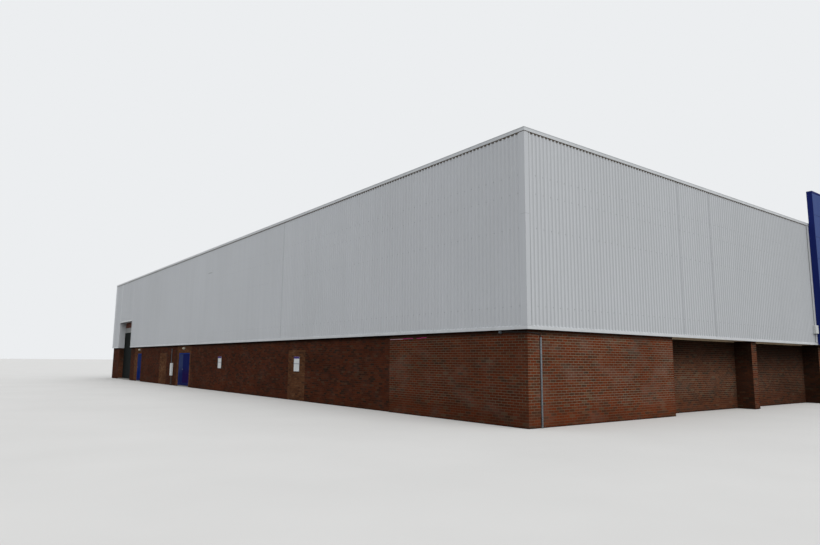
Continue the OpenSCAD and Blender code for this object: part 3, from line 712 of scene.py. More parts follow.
# %% [markdown]
# ## Cladding round the hall
# Each side has its own runs of the profile, drawn out from the drip to under the capping. Towards the
# portal the front gets darker and all its ribs are evenly greyed, so there the light and dark of the
# ribs nearly fades. The run over the loading bay starts at the head of the opening.
# %% Cladding runs
def clad_run(piece, face, laps=(), first_crest=CREST_W, ends=EVEN_FLANK_SHADE, middle=EVEN_FLANK_SHADE):
    """One run of ribbed wall; ends and middle give the grey tone of its crests, hollows and flanks."""
    spots = rib_profile(face.length, laps, first_crest, ends, middle)
    points, faces, tones = [], [], []
    for a, depth, tone in spots:
        points += [face.point(a, z, d) for z in (face.foot, RIB_TOP) for d in (-depth, -clad_t)]
        tones += [tone] * 4
    for n in range(len(spots) - 1):
        a, b = 4 * n, 4 * n + 4
        faces += [(a, b, b + 2, a + 2), (b + 1, a + 1, a + 3, b + 3)]
        faces += [(a + 2, b + 2, b + 3, a + 3), (b, a, a + 1, b + 1)]
    last = len(points) - 4
    faces += [(1, 0, 2, 3), (last, last + 1, last + 3, last + 2)]
    piece.add(points, face.outward(faces), tone=tones)


def clad_wall(name, node, *runs, **looks):
    piece = Piece(white_sheet)
    for face in runs:
        clad_run(piece, face, **looks)
    piece.make(name, "white_cladding", node)


# Each lap: where it lies, and the painted shade in its groove.
FRONT_LAPS, SIDE_LAPS = ((3.98, 0.4), (5.12, 1.0)), ((7.41, 1.0),)
FIRST_CREST_FRONT, FIRST_CREST_SIDE = 0.0455, 0.002
bay_h = marks("bay_cladding", 2)[1]
clad_l = front_l + 2 * clad_out
front_face = Face(-clad_out, -clad_out, "x", clad_l, "-y", foot=RIB_FOOT)
back_face = Face(-clad_out, side_l + clad_out, "x", clad_l, "+y", foot=RIB_FOOT)
right_face = Face(front_l + clad_out, clad_in, "y", side_l - 2 * clad_in, "+x", foot=RIB_FOOT)
loading_face = Face(-clad_out, clad_in, "y", bay_y - clad_in, "-x", foot=RIB_FOOT)
over_bay = Face(-clad_out, bay_y, "y", bay_end - bay_y, "-x", foot=bay_h)
past_bay = Face(-clad_out, bay_end, "y", side_l - clad_in - bay_end, "-x", foot=RIB_FOOT)

# The front: painted shade on the flanks, and crests and hollows darker towards the middle.
clad_wall("cladding_front", "front_cladding", front_face, laps=FRONT_LAPS,
          first_crest=FIRST_CREST_FRONT, ends=(0.0, 0.07, 0.38), middle=(0.3, 0.33, 0.43))
clad_wall("cladding_back", "back_cladding", back_face)
clad_wall("cladding_loading_side", "side_cladding", loading_face, laps=SIDE_LAPS,
          first_crest=FIRST_CREST_SIDE, middle=(0.06, 0.06, 0.08))
clad_wall("cladding_right_side", "right_cladding", right_face)
clad_wall("cladding_over_loading_bay", "bay_cladding", over_bay, past_bay)

# %% [markdown]
# ## Fixings
# Each sheet is screwed to the rails behind it, through the hollows of the ribs. The screws are small
# hexagon heads in level rows, in every second hollow. From a distance they are faint grey dots. They
# could be instances scattered along lines, but one mesh of them rides on the building as one piece.
# %% Fixings in rows
fixing_grey = Finish("fixing_heads_grey", 0.6, mirror=0.2)
fixing_spots = fixing_grey.noise(60.0)
fixing_grey.colour(fixing_grey.ramp(fixing_spots, (0.3, paint(108, 110, 112)), (0.7, paint(140, 142, 143))))
fixing_grey.shine(fixing_grey.grey(fixing_spots, 0.3, 0.7, 0.5, 0.7))
fixings = Piece(fixing_grey.material)
FIXING_ROWS, HEAD_R, HEAD_T, HEXAGON = (1.63, 2.715, 3.21, 3.475), 0.0055, 0.003, 6
portal_x0, portal_x1 = span("portal_panel")[:2]


def fix_run(face, first_crest=CREST_W, gap=None):
    """Screws along a run, except below the head of the bay where gap says that it lies."""
    at = first_crest - CREST_W + (CREST_W + RIB_PITCH) / 2
    while at < face.length - RIB_PITCH:
        in_gap = gap is not None and gap[0] < face.start[1] + at < gap[1]
        for z in FIXING_ROWS:
            if not in_gap or z > bay_h + 0.1:
                rim = ring(HEAD_R, HEXAGON, (at, z))
                points = [face.point(a, h, d) for d in (-RIB_DEPTH, HEAD_T - RIB_DEPTH) for a, h in rim]
                fixings.add(points, face.outward(skin(HEXAGON, 2)))
        at += 2 * RIB_PITCH


fix_run(Face(-clad_out, -clad_out, "x", portal_x0 + clad_out, "-y"), FIRST_CREST_FRONT)
fix_run(Face(-clad_out, clad_in, "y", side_l - 2 * clad_in, "-x"), FIRST_CREST_SIDE,
        (bay_y - 0.06, bay_end + 0.06))
fix_run(back_face)
fix_run(right_face)
fixings.make("cladding_fixings", "white_flashing")

# %% [markdown]
# ## Folded flashings
# A folder bends flat sheet into capping, drips and angles. In Blender, a fold is an outline that is
# swept along a path and mitred at the corners. A curve with a bevel object could do it, but it would
# thin the sheet at sharp corners. `fold_run` walks round the hall against the clock, so that the
# outside is always on its right.
# %% Sweeping a folded sheet
HALL = [(0, 0), (front_l, 0), (front_l, side_l), (0, side_l)]


def fold_run(piece, outline, path, closed=False):
    """Sweeps an outline of (outwards, z) corners along a path of (x, y) corners."""
    rings = []
    count = len(path)
    for i, (x, y) in enumerate(path):
        legs = []
        for a, b in ((i - 1, i), (i, i + 1)):
            if closed or (a >= 0 and b < count):
                x0, y0 = path[a % count]
                x1, y1 = path[b % count]
                run = math.hypot(x1 - x0, y1 - y0)
                legs.append(((y1 - y0) / run, (x0 - x1) / run))
        nx = sum(leg[0] for leg in legs)
        ny = sum(leg[1] for leg in legs)
        rings.append([(x + out * nx, y + out * ny, z) for out, z in outline])
    piece.stack(rings, closed=closed)


print("once round the hall:", round(2 * (front_l + side_l), 2), "m")

# %% [markdown]
# ## Capping of the parapet
# The capping is folded over the top of the parapet. Its face has a crease: the upper band leans out a
# little, so it sees less sky and looks darker. A narrow strap covers the joint where two lengths of
# capping meet.
# %% Parapet capping
STRAP_T, STRAP_W, STRAP_SPOTS, SHEET = 0.0015, 0.06, (3.8, 15.8, 21.8), 0.003
cap_out = -span("end_cappings")[0] - STRAP_T
cap_top = span("end_cappings")[5]
cap_in = marks("side_cappings", 0)[1]
FASCIA_FOOT, CREASE = clad_top + 0.007, cap_top - 0.019
cap_section = [
    (cap_out, FASCIA_FOOT), (cap_out, CREASE - 0.001), (cap_out - 0.006, CREASE),
    (cap_out, cap_top - 0.003), (cap_out - 0.003, cap_top - 0.002), (-cap_in, cap_top),
    (-cap_in, clad_top), (-cap_in + SHEET, clad_top), (-cap_in + SHEET, cap_top - 2 * SHEET),
    (cap_out - 3 * SHEET, cap_top - 2 * SHEET), (cap_out - 3 * SHEET, CREASE),
    (cap_out - SHEET, CREASE - SHEET), (cap_out - SHEET, FASCIA_FOOT)]
strap_section = [
    (cap_out - SHEET, FASCIA_FOOT), (cap_out + STRAP_T, FASCIA_FOOT),
    (cap_out + STRAP_T, CREASE - 0.001), (cap_out - 0.006 + STRAP_T, CREASE),
    (cap_out + STRAP_T, cap_top - 0.003), (cap_out - 2 * SHEET, cap_top - 0.002)]
capping = Piece(white_fold)
fold_run(capping, cap_section[::-1], HALL, closed=True)
for near in STRAP_SPOTS:
    far = near + STRAP_W
    fold_run(capping, strap_section, [(near, 0), (far, 0)])
    fold_run(capping, strap_section, [(far, side_l), (near, side_l)])
    fold_run(capping, strap_section, [(front_l, near), (front_l, far)])
    fold_run(capping, strap_section, [(0, far), (0, near)])
capping.make("parapet_capping", "white_flashing", "end_cappings", "side_cappings")

# %% [markdown]
# ## Closure strip
# Under the capping, foam closes the hollows of the ribs against wind and birds. Its dark colour is
# painted shade: it stands in for the shadow under the capping's overhang, and shows as a dark line with
# a tooth at each rib. The teeth are one strip here that lies just behind the crests, so that the ribs
# themselves cut it into teeth.
# %% Closure strip under the capping
# The foam's colour is painted shade of the capping's overhang.
foam = Finish("foam_closure_painted_shade", 0.95, mirror=0.05)
cells = foam.noise(180.0, detail=2.0)
foam.colour(foam.ramp(cells, (0.3, paint(96, 88, 80)), (0.7, paint(118, 110, 100))))
foam.relief(cells, 0.0008, 0.5)
TEETH_H, BEHIND_CREST = 0.012, 0.0012
behind_ribs = clad_out - RIB_DEPTH - 0.002


def strip(out0, out1, z0, z1):
    """The outline of a flat strip in (outwards, z) corners."""
    return [(out0, z0), (out1, z0), (out1, z1), (out0, z1)]


closure = Piece(foam.material)
line = strip(clad_out - 0.004, clad_out + 0.004, clad_top, clad_top + 0.03)
teeth = strip(behind_ribs, clad_out - BEHIND_CREST, clad_top - TEETH_H, clad_top)
for outline in (line, teeth):
    fold_run(closure, outline, HALL, closed=True)
closure.make("rib_closure_strip", "white_flashing")

# %% [markdown]
# ## Corner angles
# A folded angle covers each corner of the cladding, in two lengths: a faint dark line of painted shade
# shows where the upper one laps over the lower. Beside its front leg runs a bead of sealant, greyed as
# painted shade of the gap there, most of it low down. Both are outlines that go straight up, with a
# tone at each height.
# %% Corner angles
ANGLE_FRONT, ANGLE_SIDE, ANGLE_T, BEAD_W, BEAD_T = 0.078, 0.09, 0.002, 0.006, 0.0015
# The tone of the lap line is painted shade.
ANGLE_LAP, LAP_SHADE, UNSHADED_TONE = 2.905, 0.35, 0.08
angle_legs = [
    (0, 0), (-ANGLE_FRONT, 0), (-ANGLE_FRONT, ANGLE_T), (ANGLE_T, ANGLE_T),
    (ANGLE_T, -ANGLE_SIDE), (0, -ANGLE_SIDE)]
angle_levels = [
    (plinth_h + DRIP_H + 0.002, UNSHADED_TONE), (ANGLE_LAP - 0.006, UNSHADED_TONE), (ANGLE_LAP - 0.005, LAP_SHADE),
    (ANGLE_LAP + 0.004, LAP_SHADE), (ANGLE_LAP + 0.005, UNSHADED_TONE), (clad_top + 0.03, UNSHADED_TONE)]
bead_legs = [
    (-ANGLE_FRONT, 0), (-ANGLE_FRONT - BEAD_W, 0), (-ANGLE_FRONT - BEAD_W, BEAD_T),
    (-ANGLE_FRONT, BEAD_T)]
# The bead's tone is painted shade of the gap beside the leg, darkest low down.
bead_levels = [(plinth_h + DRIP_H + 0.004, 0.9), (2.0, 1.0), (2.85, 0.3), (clad_top, 0.1)]
angles = Piece(white_sheet)
for (cx, cy), (sx, sy) in zip(HALL, ((-1, -1), (1, -1), (1, 1), (-1, 1))):
    ox, oy = cx + sx * clad_out, cy + sy * clad_out
    for legs, levels in ((angle_legs, angle_levels), (bead_legs, bead_levels)):
        outline = [(ox + sx * a, oy + sy * b) for a, b in legs]
        if sx * sy < 0:
            outline.reverse()
        tones = [tone for z, tone in levels for spot in outline]
        angles.stack([[(x, y, z) for x, y in outline] for z, tone in levels], tone=tones)
angles.make("corner_angles", "white_flashing", "corner_flashings")

# %% [markdown]
# ## Drip flashing and the trim beside the portal
# The foot of the cladding stands on a bright folded drip: a sloped ledge above, then an upright band
# that throws the rain clear of the brick. A flat white trim ends the ribs beside the portal, with a
# grey line of sealant along it whose grey is painted shade of the last hollow.
# %% Drip flashing
drip_out = -span("drip_flashing")[0]
drip_top = plinth_h + DRIP_H
drip_section = [
    (drip_out - 0.012, plinth_h), (drip_out, plinth_h), (drip_out, drip_top - 0.016),
    (drip_out - 0.0035, drip_top - 0.013), (drip_out - 0.0035, drip_top - 0.009),
    (drip_out - 0.0015, drip_top - 0.007), (behind_ribs, drip_top + 0.004),
    (behind_ribs, drip_top - 0.001), (drip_out - 0.008, drip_top - 0.014),
    (drip_out - 0.004, drip_top - 0.02), (drip_out - 0.004, plinth_h + 0.004),
    (drip_out - 0.012, plinth_h + 0.004)]
drip = Piece(white_fold)
fold_run(drip, drip_section[::-1], [(portal_x1, 0), *HALL[1:], (0, bay_end)])
fold_run(drip, drip_section[::-1], [(0, bay_y), (0, 0), (portal_x0, 0)])
drip.make("drip_at_cladding_foot", "white_flashing", "drip_flashing")
# The sealant's grey is painted shade of the last hollow beside the trim.
sealant_shade = sheet_finish("sealant_painted_shade_grey", paint(126, 128, 128), paint(104, 106, 105), 0.5, 0.7, mirror=0.1)
end_trim = Piece(white_fold, sealant_shade)
TRIM_END_W, SEAL_W, PORTAL_GAP = 0.085, 0.03, 0.002
foot, front, back = drip_top + 0.004, -clad_out - 0.006, -clad_out + 0.001
for side, edge in ((1, portal_x0), (-1, portal_x1)):
    near, far, end = [edge - side * off for off in (PORTAL_GAP, TRIM_END_W, TRIM_END_W + SEAL_W)]
    end_trim.box(*sorted((far, near)), front, back, foot, clad_top)
    end_trim.box(*sorted((end, far)), -clad_out - 0.001, back, foot, clad_top, 1)
end_trim.make("trim_beside_portal", "white_flashing")

# %% [markdown]
# ## The blue portal
# A tall blue panel stands in front of the entrance. It is made of flat cassettes with narrow joints
# between them, a trim along its top, and plain folded ends in a darker blue. Lines could be painted on
# one flat sheet, but each cassette is a box of its own here, so that the joints catch real shadow.
# %% Portal finishes and cassettes
portal_front = sheet_finish("portal_blue_front", paint(54, 72, 124), paint(66, 82, 128), 0.5, 0.5,
                            mirror=0.03)
portal_side = sheet_finish("portal_navy_ends", paint(22, 33, 92), paint(30, 40, 94), 0.4, 0.5,
                           mirror=0.03)
px0, px1, py0, py1, pz0, pz1 = span("portal_panel")
TRIM_H, ROW_H, COLUMNS, GAP, CASSETTE_T, END_T = 0.05, 0.52, 3, 0.006, 0.014, 0.003
portal = Piece(portal_side, portal_front)
portal.box(px0 + END_T, px1 - END_T, py0 + CASSETTE_T, py1, pz0, pz1 - TRIM_H)
for x0, x1 in ((px0, px0 + END_T), (px1 - END_T, px1)):
    portal.box(x0, x1, py0, py1, pz0, pz1 - TRIM_H - GAP)
portal.box(px0, px1, py0, py1, pz1 - TRIM_H, pz1)
column_w = (px1 - px0) / COLUMNS
row_top = pz1 - TRIM_H - GAP
while row_top > pz0 + GAP:
    row_foot = max(row_top - ROW_H, pz0)
    for n in range(COLUMNS):
        left = px0 + (n * column_w + GAP / 2 if n else END_T)
        right = px0 + ((n + 1) * column_w - GAP / 2 if n < COLUMNS - 1 else px1 - px0 - END_T)
        portal.box(left, right, py0, py0 + CASSETTE_T, row_foot + GAP * (row_foot > pz0), row_top, 1)
    row_top = row_foot
portal.make("portal_cassettes", "blue_panel", "portal_panel")

# %% [markdown]
# ## Edges that catch the light
# No real edge is perfectly sharp. For small fittings whose solid already has the right form, a copy
# of that solid gets its edges rounded by a Bevel modifier. That is quicker than modelling it again,
# and it keeps its place exactly.
# %% Rounding a copy of a solid
import bmesh

EASED_FROM = 35


def soften(node, name, finish, width, body="building"):
    """A copy of a solid, with its edges rounded."""
    shape = bmesh.new()
    shape.from_mesh(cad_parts[node].data)
    bmesh.ops.remove_doubles(shape, verts=shape.verts, dist=1e-5)
    flat = math.radians(1)
    bmesh.ops.dissolve_limit(shape, angle_limit=flat, verts=shape.verts, edges=shape.edges)
    mesh = bpy.data.meshes.new(name)
    shape.to_mesh(mesh)
    shape.free()
    mesh.materials.clear()
    mesh.materials.append(finish)
    mesh.polygons.foreach_set("material_index", [0] * len(mesh.polygons))
    piece = bpy.data.objects.new(name, mesh)
    bpy.context.scene.collection.objects.link(piece)
    ease = piece.modifiers.new("eased_edges", "BEVEL")
    ease.width = width
    ease.segments = 2
    ease.limit_method = "ANGLE"
    ease.angle_limit = math.radians(EASED_FROM)
    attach(piece, body)
    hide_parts(node)
    print(name, len(mesh.polygons), "faces before rounding")
    return piece


def dress(node, finish):
    """Gives a solid that stays as it is its finish."""
    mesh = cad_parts[node].data
    mesh.materials.clear()
    mesh.materials.append(finish)


print("edges sharper than", EASED_FROM, "degrees get rounded")

# %% [markdown]
# ## The ground floor and the roof
# The floor is power-floated concrete. The roof is made of long coated trays whose edges stand up and
# fold over each other, the standing seams, which run from the gutter to the ridge. Floor and slopes
# stay the solids that they were, with a new finish. Only the seams are added, a thin bar at each joint.
# %% Floor, sills and roof
def concrete_finish():
    made = Finish("concrete_floated", 0.75, mirror=0.2)
    cloud = made.noise(1.6, detail=6.0)
    speck = made.noise(120.0, detail=3.0)
    colour = made.ramp(cloud, (0.3, paint(128, 126, 121)), (0.7, paint(150, 148, 142)))
    specks = made.ramp(speck, (0.35, paint(170, 168, 165)), (0.7, WHITE))
    made.colour(made.mix(0.4, colour, specks, "MULTIPLY"))
    made.shine(made.grey(cloud, 0.3, 0.7, 0.6, 0.85))
    made.relief(speck, 0.0008, 0.5)
    return made.material


concrete = concrete_finish()
for node in ("floor_slab", "corner_floors", "door_sills"):
    dress(node, concrete)

roof_sheet = sheet_finish("roof_light_grey", paint(150, 154, 157), paint(126, 129, 130), 0.4, 0.5)
for node in ("roof_front_slope", "roof_back_slope", "ridge_capping"):
    dress(node, roof_sheet)

rx0, rx1, low_y, ridge_y, _, ridge_top = span("roof_front_slope")
eaves_top = marks("roof_front_slope", 2)[1]
SEAM_H, SEAM_W, TRAY_W = 0.03, 0.008, 0.2
seam = strip(-SEAM_W / 2, SEAM_W / 2, 0, SEAM_H)
ridge_half = (span("ridge_capping")[3] - span("ridge_capping")[2]) / 2
rise = (ridge_top - eaves_top) / (ridge_y - low_y)
seams = Piece(roof_sheet)
trays = round((rx1 - rx0) / TRAY_W)
for n in range(1, trays):
    x = rx0 + n * (rx1 - rx0) / trays
    for way in (1, -1):
        rings = []
        for y in (low_y + 0.01, ridge_y - ridge_half - 0.01):
            z = eaves_top + (y - low_y) * rise - 0.001
            rings.append([(x + dx, y if way > 0 else side_l - y, z + dz) for dx, dz in seam])
        seams.stack(rings[::-way])
seams.make("roof_standing_seams", "roof_sheet")

# %% [markdown]
# ## Galvanised steel
# Zinc cools into crystals of many sizes, the spangle. A Voronoi pattern gives each crystal its own
# grey, and soft noise dulls both its colour and its shine. A picture of zinc would show where it
# repeats. A pattern that is worked out in metres never does.
# %% Galvanised finish
def galvanised_finish():
    made = Finish("steel_galvanised", 0.55, 0.3)
    cells = made.node("ShaderNodeTexVoronoi", {"Vector": made.place(), "Scale": 70.0}).outputs["Color"]
    dull = made.noise(5.0, detail=4.0)
    grey = made.ramp(cells, (0.2, paint(92, 99, 105)), (0.8, paint(120, 127, 132)))
    made.colour(made.mix(made.grey(dull, 0.35, 0.7, 0.0, 0.5), grey, paint(96, 97, 96)))
    made.shine(made.grey(dull, 0.3, 0.7, 0.42, 0.62))
    made.relief(cells, 0.0004, 0.3)
    return made.material


galvanised = galvanised_finish()
dress("gutters", galvanised)
print("gutters in", galvanised.name)

# %% [markdown]
# ## The glazed entrance
# Behind the portal's piers is a screen of aluminium posts and rails with clear glass, and two doors
# that slide. One function makes every smooth factory coat in this lesson: a clean colour, a worn one,
# and dust that decides between them. The glass lets light through with a faint smear on it.
# %% Aluminium, glass and rubber
def coated_metal(name, clean, worn, roughness=0.38, scale=14.0, mirror=0.25):
    """Smooth factory paint with a little dust and a fine orange-peel skin."""
    made = Finish(name, roughness, mirror=mirror)
    dust = made.noise(scale, (1, 1, 0.35), 5.0)
    made.colour(made.mix(made.grey(dust, 0.42, 0.8, 0.0, 0.6), clean, worn))
    made.shine(made.grey(dust, 0.3, 0.8, roughness - 0.05, roughness + 0.15))
    made.relief(made.noise(220.0, detail=1.0), 0.0003, 0.25)
    return made.material


def glass_finish():
    made = Finish("glass_clear", 0.03)
    smear = made.noise(3.0, (1, 1, 0.4), 4.0)
    made.colour(made.ramp(smear, (0.35, paint(206, 218, 216)), (0.7, paint(216, 226, 224))))
    made.shine(made.grey(smear, 0.4, 0.8, 0.02, 0.09))
    made.shader.inputs["Transmission Weight"].default_value = 1.0
    made.shader.inputs["IOR"].default_value = 1.05
    return made.material


aluminium = coated_metal("aluminium_silver_coated", paint(168, 171, 174), paint(140, 142, 143))
rubber = coated_metal("rubber_black", paint(28, 28, 28), paint(44, 43, 41), 0.7)
soften("entrance_frame", "entrance_screen_frame", aluminium, 0.002)
soften("entrance_doors", "entrance_sliding_doors", aluminium, 0.002)
dress("entrance_glass", glass_finish())

# %% [markdown]
# ## Gaskets
# A black rubber gasket holds every pane, inside and outside. The places of the panes are read from the
# faces of the glass itself, so that a frame with other panes would still get its gaskets. Four thin
# boxes go round each pane.
# %% Gaskets round the panes
gaskets = Piece(rubber)
GASKET, GASKET_T = 0.006, 0.0015
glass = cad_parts["entrance_glass"].data
glass_y0, glass_y1 = span("entrance_glass")[2:4]
panes = set()
for pane in glass.polygons:
    if pane.normal.y < -0.9:
        xs = [glass.vertices[i].co.x - corner.x for i in pane.vertices]
        zs = [glass.vertices[i].co.z for i in pane.vertices]
        panes.add((min(xs), max(xs), min(zs), max(zs)))
for x0, x1, z0, z1 in sorted(panes):
    for y0, y1 in ((glass_y0 - GASKET_T, glass_y0), (glass_y1, glass_y1 + GASKET_T)):
        gaskets.box(x0, x1, y0, y1, z0, z0 + GASKET)
        gaskets.box(x0, x1, y0, y1, z1 - GASKET, z1)
        gaskets.box(x0, x0 + GASKET, y0, y1, z0 + GASKET, z1 - GASKET)
        gaskets.box(x1 - GASKET, x1, y0, y1, z0 + GASKET, z1 - GASKET)
gaskets.make("entrance_gaskets", "window_frame")
print("panes with a gasket:", len(panes))

# %% [markdown]
# ## Soffit boards
# Beige boards close the underside of the cladding over the recesses, with a narrow joint every 60 cm.
# A thin batten covers the joint with the wall behind. Hardly any light reaches the boards, so their
# real colour has to be much paler than it looks. They are boxes of equal length, worked out from the
# whole run, so that no short piece is left at the end.
# %% Soffit boards
soffit_board = coated_metal("soffit_beige_board", paint(214, 194, 166), paint(176, 156, 130), 0.6, 6.0, 0.1)
sx0, sx1, sy0, sy1, sz0, sz1 = span("recess_soffits")
BOARD_L, BOARD_GAP = 0.6, 0.004
boards = Piece(soffit_board)
count = round((sx1 - sx0) / BOARD_L)
for n in range(count):
    left = sx0 + n * (sx1 - sx0) / count
    right = sx0 + (n + 1) * (sx1 - sx0) / count
    boards.box(left + BOARD_GAP / 2, right - BOARD_GAP / 2, sy0, sy1, sz0, sz1)
BATTEN_H, BATTEN_T = 0.014, 0.01
for x0, x1 in ((corner_l, screen_x), (front_l - screen_x, front_l - corner_l)):
    boards.box(x0 + 0.001, x1 - 0.001, recess_y - BATTEN_T, recess_y - 0.0005, sz0 - BATTEN_H, sz0)
boards.make("soffit_boards", "soffit_board", "recess_soffits")

# %% [markdown]
# ## Blue steel doors
# The doors are flush steel leaves in blue paint that has faded unevenly: paler and greyer where hands
# and weather reach, deeper near the foot. Two blues are mixed by height over a wide soft band, and
# stretched noise adds the scuffs. Each leaf rides on its own body, so that it can swing on its hinge.
# %% Door paint and leaves
DOOR_ROUGH, BLEND_H = 0.6, 0.12


def door_paint(name, top, foot, split):
    """Two blues that change into each other round the height where they split."""
    made = Finish(name, DOOR_ROUGH, mirror=0.0)
    scuff = made.noise(11.0, (1, 1, 0.25), 6.0)
    fade = made.grey(made.along("Z"), split + BLEND_H, split - BLEND_H)
    colour = made.mix(fade, top, foot)
    colour = made.mix(made.grey(scuff, 0.55, 0.85, 0.0, 0.35), colour, paint(60, 70, 110))
    made.colour(colour)
    made.shine(made.grey(scuff, 0.35, 0.8, DOOR_ROUGH - 0.04, DOOR_ROUGH + 0.2))
    made.relief(made.noise(160.0, detail=2.0), 0.0004, 0.3)
    return made.material


frame_blue = door_paint("door_frame_blue", paint(34, 58, 128), paint(32, 50, 118), 0.4)
wide_blue = door_paint("door_leaf_navy", paint(27, 33, 80), paint(34, 23, 68), 0.5)
narrow_blue = door_paint("door_leaf_grey_blue", paint(50, 60, 94), paint(28, 36, 80), 0.52)
single_blue = door_paint("door_leaf_slate_blue", paint(33, 46, 92), paint(18, 35, 92), 0.45)
soften("double_door_frame", "double_door_steel_frame", frame_blue, 0.0015)
soften("side_door_frame", "side_door_steel_frame", frame_blue, 0.0015)
LEAVES = (("double_door_wide_leaf", "double_door_wide", wide_blue),
          ("double_door_narrow_leaf", "double_door_narrow", narrow_blue),
          ("side_door_leaf", "side_door", single_blue))
leaves = {}
for node, body, finish in LEAVES:
    leaves[node] = soften(node, node + "_painted", finish, 0.0012, body)

# %% [markdown]
# ## Kick plates and lever handles
# A thin steel plate protects the foot of each leaf, screwed on over the paint. The lever handles are
# dull steel. Plate and handle belong to the leaf, so they ride on it and swing with it. The handle is
# already part of the leaf's solid: its faces are found by their place and get the steel finish.
# %% Kick plates and handles
KICK_H, KICK_IN, KICK_UP, PLATE_T, SCREW_HALF = 0.08, 0.02, 0.008, 0.0012, 0.003
plate_steel = coated_metal("kick_plate_worn_blue", paint(30, 34, 78), paint(40, 44, 80), 0.6, 30.0, 0.0)
lever_steel = coated_metal("lever_dull_steel", paint(112, 116, 120), paint(84, 86, 90), 0.45, 30.0, 0.2)
door_x = marks("double_door_wide_leaf", 0)[-2]
for node, body, finish in LEAVES:
    y0, y1, z0 = span(node)[2:5]
    y0, y1, z0, z1 = y0 + KICK_IN, y1 - KICK_IN, z0 + KICK_UP, z0 + KICK_UP + KICK_H
    kick = Piece(plate_steel, lever_steel)
    kick.box(door_x - PLATE_T, door_x + 0.0005, y0, y1, z0, z1)
    for y in (y0 + 0.01, (y0 + y1) / 2, y1 - 0.01):
        for z in (z0 + 0.01, z1 - 0.01):
            kick.box(door_x - PLATE_T - 0.001, door_x - PLATE_T, y - SCREW_HALF, y + SCREW_HALF,
                     z - SCREW_HALF, z + SCREW_HALF, 1)
    kick.make(node.replace("leaf", "kick_plate"), "blue_door_paint", body=body)
for node in ("double_door_wide_leaf", "side_door_leaf"):
    y1, z0, z1 = span(node)[3:]
    leaf = leaves[node]
    leaf.data.materials.append(lever_steel)
    for face in leaf.data.polygons:
        out = door_x - (face.center.x - corner.x)
        beside = face.center.y - corner.y > y1 - 0.1 and abs(face.center.z - (z0 + z1) / 2) < 0.02
        if out > 0.0005 and beside:
            face.material_index = 1
    print(node, "handle faces:", sum(face.material_index for face in leaf.data.polygons))

# %% [markdown]
# ## The loading bay
# Behind the opening through the cladding hangs a roller shutter, a curtain of curved steel laths that
# hook into each other. An Array could repeat one lath. The loop here counts them from the top instead,
# and the bar at the foot takes up what is left.
# %% Shutter laths
lath_grey = coated_metal("shutter_grey_green", paint(30, 33, 32), paint(42, 45, 44), 0.6, 9.0, 0.01)
sh_x, _, sh_y0, sh_y1, sh_z0, sh_z1 = span("roller_shutter")
LATH_H, LATH_D, LATH_T, STEPS = 0.0375, 0.008, 0.002, 5
curtain = Piece(lath_grey)
laths = round((sh_z1 - sh_z0 - 0.05) / LATH_H)
foot_bar = sh_z1 - laths * LATH_H
for n in range(laths):
    z = foot_bar + n * LATH_H
    bow = []
    for i in range(STEPS + 1):
        depth = LATH_D * (1 - math.sin(math.pi * i / STEPS))
        bow.append((sh_x + depth + 0.001, z + 0.001 + (LATH_H - 0.002) * i / STEPS))
    section = bow + [(x + LATH_T, h) for x, h in reversed(bow)]
    curtain.stack([[(x, y, h) for x, h in section] for y in (sh_y0 + 0.002, sh_y1 - 0.002)])
curtain.box(sh_x, sh_x + 0.02, sh_y0, sh_y1, sh_z0, foot_bar)
curtain.box(sh_x + LATH_D + LATH_T + 0.001, sh_x + LATH_D + 0.008, sh_y0, sh_y1, foot_bar, sh_z1)
curtain.make("roller_shutter_laths", "shutter_steel", "roller_shutter")

# %% [markdown]
# ## Round the shutter
# A pale steel box above the opening takes the roll, and an upright guide holds the ends of the laths
# on each side. White folded trims end the ribs round the opening, and folded sheets line its depth,
# greyer as painted shade of the opening. They are plain boxes of thin sheet, since their folds lie out
# of sight.
# %% Shutter box, guides and trims
pale_steel = coated_metal("steel_pale_grey", paint(138, 140, 139), paint(112, 112, 109), 0.5, 7.0, 0.15)
soften("shutter_hood", "shutter_box", pale_steel, 0.004)
# The lining is greyer than the cladding as painted shade.
lining_painted_shade = sheet_finish("lining_folded_painted_shade", paint(184, 187, 190), paint(162, 164, 166), 0.4, 0.5,
                           mirror=0.1)
dress("bay_lining", lining_painted_shade)
GUIDE_W, TRIM_W = 0.03, 0.045
guides = Piece(lath_grey)
for y0, y1 in ((bay_y + 0.001, bay_y + GUIDE_W), (bay_end - GUIDE_W, bay_end - 0.001)):
    guides.box(shutter_x - 0.014, shutter_x - 0.001, y0, y1, sh_z0, sh_z1)
guides.make("shutter_guides", "shutter_steel")
trim = Piece(white_fold, lining_painted_shade)
trim_x, behind_x = -clad_out - SHEET, -clad_out + 0.001
for y0, y1 in ((bay_y - TRIM_W, bay_y), (bay_end, bay_end + TRIM_W)):
    trim.box(trim_x, behind_x, y0, y1, drip_top + 0.004, bay_h + TRIM_W)
trim.box(trim_x, behind_x, bay_y, bay_end, bay_h, bay_h + TRIM_W)
for y0, y1 in ((bay_y, bay_y + SHEET), (bay_end - SHEET, bay_end)):
    trim.box(trim_x, clad_in, y0, y1, plinth_h, bay_h, 1)
trim.box(trim_x, clad_in, bay_y + SHEET, bay_end - SHEET, bay_h - SHEET, bay_h, 1)
trim.make("loading_bay_trim", "white_flashing")

